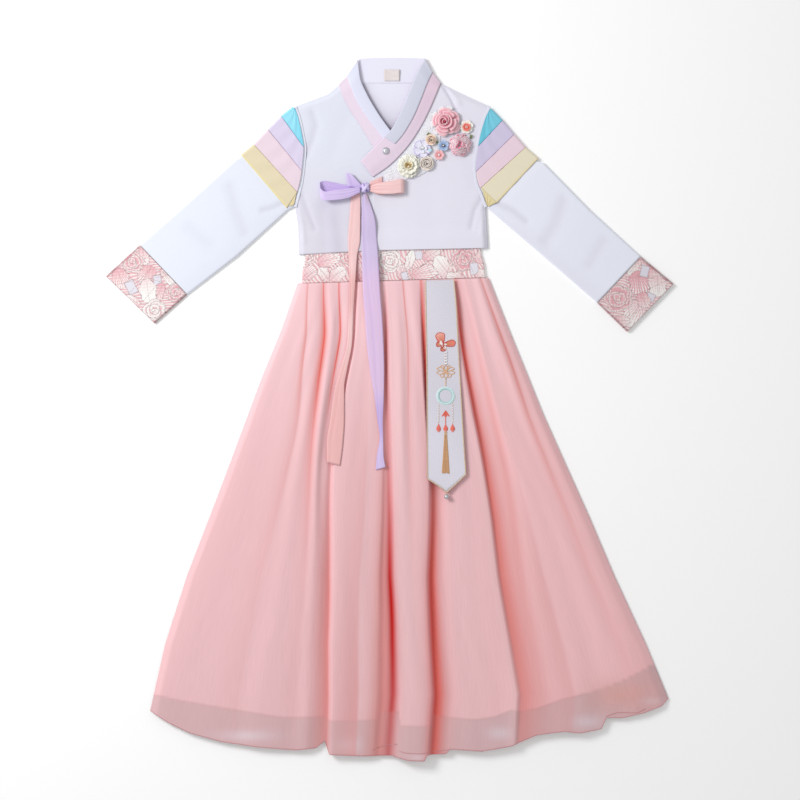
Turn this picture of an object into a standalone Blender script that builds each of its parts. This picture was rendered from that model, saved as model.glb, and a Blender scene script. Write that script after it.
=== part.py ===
"""Child's hanbok laid flat: a short jacket over a long pleated skirt, with a bow and a belt panel.

Metres, +Z up. The set lies on Z = 0 with its collar towards +Y and its front facing up. Tables
are in millimetres from the middle of the set. Left is -X. A height is that of a wall's lower
face, or of its outer face where a piece is a tube or a folded strip.
"""
import bisect
import math

import bmesh
import bpy
from mathutils import Matrix, Vector

MM = 0.001
CENTRE = Vector((0.35, -1.97, 0.0))
WALL = 1.0
GAP = 0.4
LAYER = WALL + GAP
SEAM = 0.4

# Heights of the stacked jacket layers over the floor
EDGE_HEIGHT = LAYER
UNDER_FRONT_HEIGHT = 2 * LAYER
HEM_LIFT = 1.4
EDGE_ROUNDING = 8.0
STRIPE_TOP = 5.6
CROSSING_LIFT = 1.4

# Jacket outline: height up the jacket, left edge, right edge (the first row is the hem)
BODY = (
    (229.0, -135.8, 148.2), (250.0, -136.5, 147.6), (272.0, -137.2, 146.3),
    (300.0, -141.5, 144.7), (320.0, -136.3, 137.0), (340.0, -131.5, 129.3),
    (362.0, -128.8, 127.0), (388.0, -126.8, 130.3), (408.0, -129.6, 133.9),
    (436.0, -135.8, 142.4), (452.0, -141.7, 150.2), (470.0, -92.5, 111.3),
    (487.0, -72.5, 77.0),
)
HEM_LINE = ((-136.0, 229.2), (-25.0, 235.5), (149.0, 239.3))
UNDERARM, SHOULDER_TIP = 300.0, 452.0
# Inner edges of the two fronts: height up the jacket, edge
UNDER_EDGE = (
    (229.0, 46.0), (320.0, 46.0), (334.0, 38.0), (371.0, 8.0), (400.0, -16.0),
    (427.0, -34.0), (457.0, -53.0), (487.0, -67.0),
)
OVER_EDGE = (
    (229.0, -25.5), (344.0, -25.5), (359.0, -14.0), (385.0, 8.0), (404.0, 25.0),
    (434.0, 44.0), (461.0, 58.0), (487.0, 68.0),
)

# Collar bands: outer edge, where the white strip ends, inner edge
COLLAR_UNDER = (
    ((-75.8, 485.3), (-63.8, 497.3), (-47.3, 522.8)),
    ((-70.5, 467.3), (-57.8, 480.8), (-44.3, 495.8)),
    ((-62.3, 450.8), (-48.8, 459.8), (-33.8, 470.3)),
    ((-42.8, 420.8), (-29.3, 429.8), (-14.3, 437.3)),
    ((-24.8, 390.8), (-11.3, 406.5), (0.8, 416.3)),
    ((-18.0, 380.7), (-4.5, 395.3), (7.5, 405.8)),
)
COLLAR_OVER = (
    ((77.3, 486.8), (64.5, 503.3), (53.3, 524.3)),
    ((73.5, 477.8), (56.3, 485.3), (41.3, 501.8)),
    ((65.3, 458.3), (48.8, 465.8), (30.8, 476.3)),
    ((51.8, 429.8), (36.0, 435.8), (18.0, 445.5)),
    ((32.3, 398.3), (18.8, 407.3), (3.8, 418.5)),
    ((18.8, 381.8), (8.3, 395.3), (-8.3, 405.8)),
    ((0.8, 363.8), (-9.0, 377.0), (-24.8, 388.5)),
    ((-24.8, 345.8), (-33.0, 357.0), (-43.5, 369.8)),
)
WHITE_STRIP_ROWS = 6
COLLAR_BACK = ((487.4, -71.0, 75.5), (514.0, -51.8, 58.5), (524.3, -45.8, 53.3))
LABEL = ((-8.0, 490.5), (15.0, 507.8))
SNAP = (-5.3, 384.8)

# Sleeves from cuff seam to armhole: upper edge, lower edge, bottom height, thickness
SLEEVE_LEFT = (
    ((-374.7, 244.4), (-303.5, 169.8), 0.0, 4.6),
    ((-299.3, 311.3), (-228.8, 227.3), 0.0, 5.6),
    ((-230.3, 372.8), (-159.5, 290.0), 0.0, 4.6),
    ((-222.5, 376.3), (-153.7, 295.9), 1.4, 2.8),
    ((-142.5, 448.0), (-142.5, 303.0), 1.4, 2.8),
)
SLEEVE_RIGHT = (
    ((377.3, 226.8), (311.7, 157.1), 0.0, 4.6),
    ((300.8, 296.3), (237.8, 221.3), 0.0, 5.6),
    ((231.3, 367.5), (158.9, 288.6), 0.0, 4.6),
    ((221.5, 369.8), (153.4, 293.9), 1.4, 2.8),
    ((148.5, 442.5), (146.0, 303.0), 1.4, 2.8),
)
CUFF_LEFT = (((-375.1, 244.0), (-303.9, 169.4)), ((-425.9, 197.3), (-352.7, 125.9)))
CUFF_RIGHT = (((377.7, 226.4), (312.1, 156.7)), ((426.6, 185.7), (356.6, 113.6)))
CUFF_THICKNESS = (4.6, 5.0)
# Upper-arm stripe lines: upper edge, height of its end on the armhole (or its own end)
STRIPES_LEFT = (
    ((-145.5, 451.5), 447.0), ((-162.8, 438.0), 388.4), ((-182.7, 417.8), 353.3),
    ((-204.0, 395.3), 321.0), ((-223.2, 379.4), (-152.6, 296.9)),
)
STRIPES_RIGHT = (
    ((153.0, 449.0), 445.0), ((170.0, 431.3), 389.3), ((187.8, 410.3), 351.8),
    ((204.8, 390.8), 327.0), ((224.0, 374.3), (159.3, 304.7)),
)
STRIPE_NAMES = ("cyan", "lilac", "pink", "yellow")

# Waistband from its lower seam up into the jacket: left edge, right edge, bottom height, thickness
WAISTBAND = (
    ((-131.3, 186.6), (144.3, 195.2), 0.0, 5.0),
    ((-130.8, 206.3), (142.0, 214.5), 0.0, 4.6),
    ((-127.5, 221.0), (137.5, 231.0), 0.0, 3.8),
    ((-126.9, 228.0), (136.9, 238.0), 1.4, 2.4),
    ((-126.5, 245.0), (136.0, 252.0), 1.4, 2.4),
)

# Skirt sides: height up the garment, left edge, right edge
WAIST_SEAM = (186.3, 194.9)
SKIRT_SIDES = (
    (195.0, -134.3, 148.5), (113.0, -162.9, 180.6), (44.0, -191.4, 208.6),
    (-10.0, -211.5, 230.3), (-112.0, -249.6, 276.0), (-167.0, -270.7, 300.7),
    (-253.0, -303.8, 337.3), (-356.0, -336.7, 385.0), (-437.0, -355.1, 418.5),
)
HEM_START = -430.0
HEM = (
    (-359.3, -455.3), (-330.8, -473.3), (-299.3, -488.3), (-249.8, -501.8), (-195.8, -509.3),
    (-141.8, -513.8), (-110.3, -510.8), (-97.0, -500.0), (-90.0, -520.5), (-39.8, -522.8),
    (3.8, -522.2), (27.8, -528.8), (51.8, -529.7), (56.5, -520.5), (84.8, -519.5),
    (90.2, -512.3), (138.8, -515.3), (182.3, -507.8), (219.8, -491.3), (263.3, -485.3),
    (284.3, -488.3), (317.3, -482.3), (325.0, -465.0), (348.8, -465.8), (381.8, -458.3),
    (408.8, -447.8), (418.5, -437.3),
)
# Fold lines of the skirt front, across its width and in height, at five levels down the skirt
LEVELS = (190.0, 94.0, -49.0, -289.0, -500.0)
FOLDS = (
    # fold line, share of the width at each level, height at each level
    ("left side", (0.000, 0.000, 0.000, 0.000, 0.000), (1.4, 1.4, 1.4, 1.4, 1.4)),
    ("left crown", (0.024, 0.024, 0.022, 0.018, 0.016), (6.0, 7.5, 8.5, 8.5, 7.0)),
    ("first valley", (0.048, 0.122, 0.175, 0.170, 0.160), (4.6, 5.0, 7.0, 10.0, 8.0)),
    ("first ridge", (0.095, 0.155, 0.205, 0.220, 0.220), (8.0, 12.0, 14.5, 14.0, 11.0)),
    ("second valley", (0.130, 0.200, 0.241, 0.275, 0.275), (4.6, 4.6, 6.5, 11.0, 9.0)),
    ("second ridge", (0.168, 0.231, 0.276, 0.300, 0.300), (8.0, 13.0, 15.0, 14.0, 10.0)),
    ("third valley", (0.210, 0.264, 0.300, 0.318, 0.318), (4.6, 5.5, 11.0, 11.0, 7.5)),
    ("third ridge", (0.255, 0.292, 0.318, 0.328, 0.332), (8.0, 10.0, 9.5, 7.5, 5.5)),
    ("panel foot", (0.305, 0.321, 0.333, 0.339, 0.342), (4.6, 4.8, 5.5, 5.0, 4.6)),
    ("panel edge", (0.320, 0.335, 0.344, 0.350, 0.352), (7.0, 12.0, 14.0, 14.0, 12.5)),
    ("panel middle", (0.375, 0.395, 0.405, 0.400, 0.395), (8.0, 13.0, 13.0, 12.5, 11.0)),
    ("channel left", (0.424, 0.446, 0.459, 0.448, 0.434), (7.0, 11.0, 11.5, 10.5, 9.0)),
    ("channel foot", (0.436, 0.456, 0.468, 0.460, 0.446), (4.6, 4.6, 4.6, 4.6, 4.6)),
    ("channel step", (0.450, 0.470, 0.480, 0.478, 0.472), (4.6, 4.6, 4.6, 4.6, 4.6)),
    ("centre edge", (0.464, 0.482, 0.490, 0.488, 0.483), (7.5, 15.0, 17.5, 17.5, 15.0)),
    ("centre ridge", (0.505, 0.518, 0.514, 0.512, 0.500), (8.0, 15.0, 19.0, 19.0, 16.5)),
    ("centre valley", (0.544, 0.552, 0.538, 0.530, 0.515), (4.8, 8.0, 15.0, 18.5, 16.5)),
    ("bright ridge", (0.585, 0.585, 0.565, 0.546, 0.526), (8.0, 14.0, 17.0, 18.5, 16.5)),
    ("bright edge", (0.624, 0.606, 0.587, 0.558, 0.536), (7.0, 13.0, 17.0, 18.0, 16.0)),
    ("deep foot", (0.638, 0.618, 0.598, 0.569, 0.547), (4.6, 4.6, 4.6, 4.6, 4.6)),
    ("deep step", (0.655, 0.637, 0.617, 0.592, 0.566), (4.6, 4.6, 4.6, 4.6, 4.6)),
    ("belt edge", (0.690, 0.668, 0.648, 0.616, 0.586), (5.2, 12.0, 13.5, 12.5, 11.0)),
    ("belt middle", (0.750, 0.718, 0.698, 0.665, 0.640), (5.2, 13.0, 14.5, 14.0, 12.5)),
    ("right edge", (0.804, 0.760, 0.740, 0.706, 0.700), (5.2, 13.0, 15.0, 14.5, 13.0)),
    ("right foot", (0.820, 0.772, 0.751, 0.718, 0.711), (4.6, 4.6, 4.6, 4.6, 4.6)),
    ("soft side", (0.848, 0.812, 0.792, 0.750, 0.740), (7.0, 9.0, 10.0, 9.5, 8.5)),
    ("right ridge", (0.878, 0.860, 0.848, 0.828, 0.810), (8.0, 13.0, 14.5, 14.5, 12.5)),
    ("side valley", (0.907, 0.898, 0.898, 0.890, 0.880), (4.8, 9.0, 11.5, 10.0, 7.0)),
    ("side ridge", (0.935, 0.930, 0.924, 0.918, 0.905), (8.0, 11.5, 11.0, 11.0, 7.5)),
    ("last valley", (0.955, 0.955, 0.946, 0.946, 0.940), (5.0, 5.0, 6.0, 8.5, 7.0)),
    ("right crown", (0.976, 0.977, 0.976, 0.978, 0.980), (6.0, 7.0, 8.5, 8.5, 7.0)),
    ("right side", (1.000, 1.000, 1.000, 1.000, 1.000), (1.4, 1.4, 1.4, 1.4, 1.4)),
)
LINING_SHARES = (0.04, 0.96)
LINING_BOTTOM, LINING_LOW = 1.4, 3.8
LINING_END = -405.0
LINING_CLEARANCE = 1.2
LINING_REACH = 11.0

# Bow ribbons that are looped: middle of the ribbon (x, y), height, half width
LOOP_LILAC = (
    (-43.7, 327.5, 7.8, 3.5), (-62.0, 328.0, 6.0, 5.8), (-82.0, 330.5, 4.6, 7.3),
    (-98.0, 331.5, 4.4, 8.0), (-104.5, 329.0, 8.2, 8.0), (-104.0, 322.5, 13.0, 7.0),
    (-96.0, 316.2, 15.2, 6.8), (-80.0, 318.6, 14.8, 7.4), (-62.0, 321.5, 13.4, 6.8),
    (-43.7, 326.5, 11.8, 4.0),
)
LOOP_PINK = (
    (-28.6, 328.5, 8.0, 4.0), (-14.0, 329.0, 7.4, 9.0), (4.0, 330.0, 6.4, 9.5),
    (16.0, 331.3, 6.0, 10.5), (22.4, 331.5, 10.6, 10.5), (16.0, 331.3, 15.2, 10.5),
    (4.0, 329.5, 15.4, 9.8), (-14.0, 329.0, 14.2, 8.6), (-28.6, 328.0, 12.0, 4.5),
)
KNOT = ((-36.1, 329.5, 9.8), (7.2, 7.9, 5.4))
# Short ribbon ends: four corners from the knot outwards, height
STUB_LILAC = (((-41.6, 335.6), (-64.8, 335.8), (-64.8, 351.2), (-58.2, 350.6)), 8.6)
STUB_PINK = (((-27.0, 332.5), (-11.0, 338.0), (-11.0, 346.2), (-27.0, 338.5)), 5.8)
# Ribbon tails: left edge, right edge
TAIL_PINK = (
    ((-53.3, 326.5), (-45.0, 328.5)), ((-57.8, 312.8), (-43.5, 309.0)),
    ((-60.0, 284.3), (-43.5, 284.3)), ((-62.3, 251.3), (-44.0, 251.3)),
    ((-61.5, 227.3), (-48.5, 227.3)), ((-60.0, 185.3), (-51.5, 185.3)),
    ((-61.0, 138.8), (-54.5, 138.8)), ((-63.0, 98.3), (-56.0, 98.3)),
    ((-74.3, 54.8), (-64.0, 54.8)), ((-81.8, 28.5), (-67.7, 28.5)),
    ((-88.7, -17.3), (-67.7, -17.3)), ((-93.8, -53.3), (-69.8, -53.3)),
    ((-93.8, -82.0), (-74.0, -87.0)),
)
TAIL_LILAC = (
    ((-39.5, 320.6), (-34.0, 320.6)), ((-41.3, 311.3), (-31.0, 311.3)),
    ((-41.5, 296.3), (-25.5, 296.3)), ((-42.0, 278.3), (-20.9, 278.3)),
    ((-42.0, 251.3), (-18.8, 251.3)), ((-41.3, 227.3), (-16.8, 227.3)),
    ((-39.8, 176.3), (-14.0, 176.3)), ((-36.5, 134.3), (-10.8, 134.3)),
    ((-34.1, 98.3), (-8.9, 98.3)), ((-29.3, 56.3), (-7.8, 56.3)),
    ((-22.1, 14.3), (-8.6, 14.3)), ((-17.5, -21.8), (-10.0, -21.8)),
    ((-14.5, -46.0), (-9.5, -46.0)), ((-18.8, -71.3), (-8.9, -71.3)),
    ((-20.7, -93.8), (-6.0, -89.3)),
)
# Belt panel: left edge, right edge
BELT = (
    ((53.0, 190.2), (97.0, 191.6)), ((53.6, 150.0), (100.9, 150.0)),
    ((54.4, 105.0), (103.2, 105.0)), ((55.2, 60.0), (105.5, 60.0)),
    ((55.5, 15.0), (107.9, 15.0)), ((55.7, -45.0), (111.5, -45.0)),
    ((56.0, -106.7), (115.2, -99.8)),
)
BELT_TIP = (85.7, -126.8)
BINDING_WIDTH = 2.2
# How far to each side of a strip its support is looked at
MARGIN = 2.0
BEAD = (85.5, -133.5)
BEAD_RADIUS = 3.9

# Chest ornament on the over front
LACE = (
    ((61.5, 444.0), (75.8, 437.3)), ((52.5, 425.3), (75.8, 408.8)), ((32.5, 393.8), (69.8, 371.3)),
    ((9.5, 368.0), (38.3, 345.8)), ((-8.0, 350.0), (-5.3, 338.3)),
)
ON_LACE = UNDER_FRONT_HEIGHT + 3 * LAYER
ON_FRONT = UNDER_FRONT_HEIGHT + 2 * LAYER
# Flowers: name, centre, radius, petals, depth of the notches, rise, height of the base, material
FLOWERS = (
    ("rose", (84.8, 428.3), 20.0, 6, 0.10, 12.0, ON_LACE, "rose_pink"),
    ("coral", (115.5, 420.5), 9.6, 5, 0.22, 7.0, ON_FRONT, "coral"),
    ("carnation", (105.8, 393.8), 16.4, 9, 0.10, 11.0, ON_FRONT, "carnation_pink"),
    ("blue", (80.7, 392.7), 8.0, 5, 0.28, 5.0, ON_LACE, "blue"),
    ("rosebud", (62.3, 401.3), 6.4, 4, 0.10, 7.0, ON_LACE, "peach"),
    ("pansy", (49.7, 387.8), 11.4, 5, 0.22, 5.0, ON_LACE, "pale_lilac"),
    ("small_pink", (74.3, 378.8), 7.1, 5, 0.28, 5.0, ON_LACE, "carnation_pink"),
    ("rosette", (56.0, 366.2), 9.7, 7, 0.08, 6.0, ON_LACE, "cream"),
    ("ivory", (28.1, 362.6), 17.6, 8, 0.14, 9.0, ON_LACE, "ivory"),
)
# Leaves: centre, length from the middle, height of the base
LEAVES = (
    ((57.8, 409.6), 2.6, ON_LACE), ((71.4, 398.3), 2.5, ON_LACE), ((122.3, 405.8), 2.8, ON_FRONT),
)

# Colour (linear RGB) and roughness of each material
MATERIALS = {
    "white_cloth": ((0.80, 0.81, 0.88), 0.8),
    "collar_pink": ((0.80, 0.60, 0.70), 0.7),
    "brocade": ((0.78, 0.45, 0.48), 0.5),
    "sheer_pink": ((0.87, 0.50, 0.48), 0.8),
    "lining_pink": ((0.80, 0.30, 0.28), 0.7),
    "cyan": ((0.20, 0.68, 0.85), 0.7),
    "lilac": ((0.62, 0.50, 0.85), 0.5),
    "pink": ((0.88, 0.62, 0.66), 0.7),
    "yellow": ((0.85, 0.76, 0.42), 0.7),
    "peach": ((0.90, 0.55, 0.46), 0.5),
    "pale_lilac": ((0.68, 0.66, 0.86), 0.6),
    "label_cloth": ((0.78, 0.72, 0.66), 0.9),
    "gold": ((0.70, 0.48, 0.26), 0.4),
    "silver": ((0.75, 0.75, 0.78), 0.2),
    "rose_pink": ((0.85, 0.32, 0.38), 0.7),
    "coral": ((0.88, 0.30, 0.25), 0.7),
    "carnation_pink": ((0.85, 0.40, 0.48), 0.7),
    "blue": ((0.42, 0.56, 0.80), 0.7),
    "cream": ((0.85, 0.76, 0.66), 0.7),
    "ivory": ((0.88, 0.86, 0.74), 0.7),
    "leaf_green": ((0.20, 0.30, 0.14), 0.7),
}


def lerp(a, b, share):
    return a + (b - a) * share


def between(a, b, share):
    """A point part of the way between two points in plan."""
    return lerp(a[0], b[0], share), lerp(a[1], b[1], share)


def ramp(value):
    value = min(max(value, 0.0), 1.0)
    return value * value * (3.0 - 2.0 * value)


def read(rows, key, column=1):
    """Reads a table on straight lines, by its first column, which rises."""
    keys = [row[0] for row in rows]
    i = min(max(bisect.bisect_right(keys, key) - 1, 0), len(rows) - 2)
    share = (key - keys[i]) / (keys[i + 1] - keys[i])
    return lerp(rows[i][column], rows[i + 1][column], min(max(share, 0.0), 1.0))


def monotone(xs, ys, x):
    """A smooth curve through points with rising xs, which never swings past them."""
    steps = [b - a for a, b in zip(xs, xs[1:])]
    slopes = [(b - a) / step for a, b, step in zip(ys, ys[1:], steps)]
    inner = [0.0 if a * b <= 0.0 else 2.0 * a * b / (a + b) for a, b in zip(slopes, slopes[1:])]
    tangents = [slopes[0]] + inner + [slopes[-1]]
    i = min(max(bisect.bisect_right(xs, x) - 1, 0), len(steps) - 1)
    t = min(max((x - xs[i]) / steps[i], 0.0), 1.0)
    value = ys[i] * (1 + 2 * t) * (1 - t) ** 2 + ys[i + 1] * t * t * (3 - 2 * t)
    return value + steps[i] * (tangents[i] * t * (1 - t) ** 2 - tangents[i + 1] * t * t * (1 - t))


def spaced(count):
    return [i / count for i in range(count + 1)]


def distance_to_line(point, start, end):
    """Distance in plan from a point to a straight edge."""
    edge = Vector(end) - Vector(start)
    offset = Vector(point) - Vector(start)
    share = min(max(offset.dot(edge) / edge.length_squared, 0.0), 1.0)
    return (offset - share * edge).length


def finish(name, bm, material):
    """Makes the named object from a bmesh, in the garment's collection."""
    mesh = bpy.data.meshes.new(name)
    bm.to_mesh(mesh)
    bm.free()
    mesh.shade_smooth()
    mesh.materials.append(bpy.data.materials[material])
    obj = bpy.data.objects.new(name, mesh)
    bpy.data.collections["hanbok"].objects.link(obj)
    return obj


def cloth(name, columns, rows, place, material, wall=WALL, outer=False):
    """A cloth wall on a grid, whose points place(column, row) gives in millimetres.

    The points are the wall's lower face, or its outer one for a tube or a folded strip. The
    first column lies on the top layer, so its faces look up.
    """
    bm = bmesh.new()
    bmesh.ops.create_grid(bm, x_segments=len(columns) - 1, y_segments=len(rows) - 1, size=0.5)
    for vertex in bm.verts:
        column = columns[round((vertex.co.x + 0.5) * (len(columns) - 1))]
        row = rows[round((vertex.co.y + 0.5) * (len(rows) - 1))]
        vertex.co = (Vector(place(column, row)) - CENTRE) * MM
    corner = Vector(place(columns[0], rows[0]))
    across = Vector(place(columns[1], rows[0])) - corner
    down = Vector(place(columns[0], rows[1])) - corner
    if across.cross(down).z < 0.0:
        bmesh.ops.reverse_faces(bm, faces=bm.faces)
    bmesh.ops.remove_doubles(bm, verts=bm.verts, dist=0.001 * MM)
    obj = finish(name, bm, material)
    solidify = obj.modifiers.new("wall", "SOLIDIFY")
    solidify.thickness = wall * MM
    solidify.offset = -1.0 if outer else 1.0
    return obj


def ring(flat, turn, open_side=False):
    """Points round a flattened tube: share of its width, lean sideways, level up or down."""
    angles = [math.pi * i / turn for i in range(1, turn)]
    points = [(1.0 - share, 0.0, 1.0) for share in spaced(flat)]
    points += [(0.0, -math.sin(angle), math.cos(angle)) for angle in angles]
    points += [(share, 0.0, -1.0) for share in spaced(flat)]
    if not open_side:
        points += [(1.0, math.sin(angle), -math.cos(angle)) for angle in angles]
        points.append(points[0])
    return points


def ring_point(plan, width, bottom, thickness, point):
    """A point of a flattened tube's section: plan(distance) crosses it from edge to edge."""
    share, lean, level = point
    radius = thickness / 2.0
    x, y = plan(radius + share * (width - 2.0 * radius) + lean * radius)
    return x, y, bottom + radius + level * radius


def flat_tube(name, stations, material, flat=5, rows_between=1, armhole=None):
    """A flattened tube through stations of upper edge, lower edge, bottom height, thickness."""
    def place(point, row):
        i = min(int(row), len(stations) - 2)
        first, second, share = stations[i], stations[i + 1], row - i
        upper = between(first[0], second[0], share)
        lower = between(first[1], second[1], share)
        width = math.dist(upper, lower)

        def plan(distance):
            x, y = between(upper, lower, distance / width)
            if armhole and row == len(stations) - 1:
                x = armhole(y)
            return x, y
        return ring_point(plan, width, lerp(first[2], second[2], share),
                          lerp(first[3], second[3], share), point)
    rows = [i / rows_between for i in range((len(stations) - 1) * rows_between + 1)]
    return cloth(name, ring(flat, 4), rows, place, material, outer=True)


def armhole_left(y):
    return read(BODY, y, 1) - SEAM


def armhole_right(y):
    return read(BODY, y, 2) + SEAM


def front_rise(x, y):
    """How far a front has risen from the folds at the sides and shoulders, 0 to 1."""
    folds = []
    for column, inner in ((1, UNDER_EDGE[-1]), (2, OVER_EDGE[-1])):
        edge = [(row[column], row[0]) for row in BODY]
        side = [point for point in edge if point[1] <= UNDERARM]
        shoulder = [point for point in edge if point[1] >= SHOULDER_TIP] + [inner[::-1]]
        folds += list(zip(side, side[1:])) + list(zip(shoulder, shoulder[1:]))
    nearest = min(distance_to_line((x, y), start, end) for start, end in folds)
    return ramp(nearest / EDGE_ROUNDING)


def under_height(x, y):
    """Lower face of the under front, which rises over the waistband near the hem."""
    full = UNDER_FRONT_HEIGHT - EDGE_HEIGHT + HEM_LIFT * ramp((275.0 - y) / 25.0)
    return EDGE_HEIGHT + front_rise(x, y) * full


def over_height(x, y):
    return under_height(x, y) + LAYER * front_rise(x, y)


def jacket_panel(name, left, right, height, columns):
    """A jacket panel between two edges, each a function of the height up the jacket."""
    rows = [row[0] for row in BODY]

    def place(share, y):
        x = lerp(left(y), right(y), share)
        if y == rows[0]:
            y = read(HEM_LINE, x)
        return x, y, height(x, y)
    return cloth(name, columns, rows, place, "white_cloth")


def build_jacket():
    def left(y):
        return read(BODY, y, 1)

    def right(y):
        return read(BODY, y, 2)

    near_fold = 0.046
    jacket_panel("jacket_back", left, right, lambda x, y: 0.0, spaced(6))
    under_columns = [0.0, near_fold] + [near_fold + 0.954 * share for share in spaced(6)[1:]]
    jacket_panel("jacket_front_under", left, lambda y: read(UNDER_EDGE, y), under_height,
                 under_columns)
    over_columns = [1.0 - share for share in under_columns][::-1]
    jacket_panel("jacket_front_over", lambda y: read(OVER_EDGE, y), right, over_height,
                 over_columns)

    def collar_back(share, row):
        x = lerp(row[1], row[2], share)
        return x, row[0] + 1.4 * math.sin(math.pi * share) * (row is COLLAR_BACK[-1]), 0.0
    cloth("collar_back", spaced(6), COLLAR_BACK, collar_back, "white_cloth")

    def label(share, y):
        return lerp(LABEL[0][0], LABEL[1][0], share), y, LAYER
    cloth("neck_label", spaced(1), (LABEL[0][1], LABEL[1][1]), label, "label_cloth")


def collar_point(rows, share, row):
    """A point in plan of a collar band: share 0 outer edge, 1 strip edge, 2 inner edge."""
    i = min(int(row), len(rows) - 2)
    j = min(int(share), 1)
    near = between(rows[i][j], rows[i + 1][j], row - i)
    far = between(rows[i][j + 1], rows[i + 1][j + 1], row - i)
    return between(near, far, share - j)


def under_collar_height(share, row):
    return lerp(EDGE_HEIGHT, UNDER_FRONT_HEIGHT, ramp(row)) + LAYER


def over_collar_height(share, row):
    """The over band tilts up towards its inner edge, to pass over the under band."""
    level = lerp(EDGE_HEIGHT, UNDER_FRONT_HEIGHT + LAYER, ramp(row)) + LAYER
    return level + CROSSING_LIFT * ramp(share) * ramp(row - 1.0)


def build_collar():
    for side, rows, height in (("under", COLLAR_UNDER, under_collar_height),
                               ("over", COLLAR_OVER, over_collar_height)):
        def band(share, row, rows=rows, height=height):
            return (*collar_point(rows, share, row), height(share, row))

        def strip(share, row, rows=rows, height=height):
            return (*collar_point(rows, share, row), height(share, row) + LAYER)
        levels = list(range(len(rows)))
        cloth(f"collar_{side}", (0.0, 0.5, 1.0, 1.5, 2.0), levels, band, "collar_pink")
        cloth(f"collar_strip_{side}", (1.0, 1.5, 2.0), levels[:WHITE_STRIP_ROWS], strip,
              "white_cloth")
    snap_height = over_collar_height(1.0, 5.5) + LAYER
    turned("collar_snap", ((0.0, 2.4), (3.0, 2.0), (5.5, 0.6), (5.5, 0.0), (0.0, 0.0)),
           Matrix.Translation((*SNAP, snap_height)), "silver")


def turned(name, profile, matrix, material, steps=16):
    """A turned solid: radius and height down its outer side, placed by a matrix in mm."""
    bm = bmesh.new()
    points = [bm.verts.new((radius * MM, 0.0, height * MM)) for radius, height in profile]
    for first, second in zip(points, points[1:]):
        bm.edges.new((first, second))
    obj = finish(name, bm, material)
    screw = obj.modifiers.new("turn", "SCREW")
    screw.steps = screw.render_steps = steps
    screw.use_merge_vertices = True
    screw.merge_threshold = 0.00001
    obj.matrix_world = Matrix.LocRotScale((matrix.to_translation() - CENTRE) * MM,
                                          matrix.to_quaternion(), None)
    return obj


def build_sleeve(side, stations, cuff, stripes, armhole):
    flat_tube(f"sleeve_{side}", stations, "white_cloth", armhole=armhole)
    cuff_stations = [(*edges, 0.0, thick) for edges, thick in zip(cuff, CUFF_THICKNESS)]
    flat_tube(f"cuff_{side}", cuff_stations, "brocade", flat=4, rows_between=2)
    trim = 0.012

    def end_point(stripe):
        if isinstance(stripe[1], tuple):
            return stripe[1]
        return armhole(stripe[1]), stripe[1]

    for name, first, second in zip(STRIPE_NAMES, stripes, stripes[1:]):
        def place(point, share, first=first, second=second):
            upper = between(first[0], second[0], share)
            lower = between(end_point(first), end_point(second), share)
            if not isinstance(second[1], tuple):
                lower = armhole(lower[1]), lower[1]
            width = math.dist(upper, lower)
            return ring_point(lambda distance: between(upper, lower, distance / width),
                              width, 0.0, STRIPE_TOP, point)
        cloth(f"stripe_{name}_{side}", ring(4, 4, open_side=True), (trim, 0.5, 1.0 - trim), place,
              name, outer=True)


def fold_lines(y):
    """Shares of the width and heights of all the fold lines at a height up the garment."""
    down = [LEVELS[0] - level for level in LEVELS]
    depth = LEVELS[0] - y
    shares = [monotone(down, fold[1], depth) for fold in FOLDS]
    heights = [monotone(down, fold[2], depth) for fold in FOLDS]
    return shares, heights


def skirt_sides(y):
    rising = SKIRT_SIDES[::-1]
    return read(rising, y, 1), read(rising, y, 2)


def skirt_plan(share, row):
    """Plan point and fold level of the skirt: row 0 waist seam, 1 start of the hem, 2 hem."""
    y = lerp(lerp(*WAIST_SEAM, share) - SEAM, HEM_START, min(row, 1.0))
    x = lerp(*skirt_sides(y), share)
    if row <= 1.0:
        return x, y, y
    hem_x = lerp(HEM[0][0], HEM[-1][0], share)
    end_x, end_y = between((x, y), (hem_x, read(HEM, hem_x)), row - 1.0)
    return end_x, end_y, lerp(HEM_START, LEVELS[-1], row - 1.0)


def front_height(x, y):
    """Lower face of the skirt front above a plan point."""
    left, right = skirt_sides(y)
    return monotone(*fold_lines(y), (x - left) / (right - left))


def lowest_front(share, y):
    """Lowest front over a short reach to each side, for what lies inside the folds."""
    left, right = skirt_sides(y)
    shares, heights = fold_lines(y)
    reach = LINING_REACH / (right - left)
    return min(monotone(shares, heights, share + reach * step / 4.0) for step in range(-4, 5))


SKIRT_ROWS = (0.0, 0.06, 0.14, 0.22, 0.30, 0.40, 0.52, 0.66, 0.82, 1.0, 1.5, 2.0)


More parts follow.
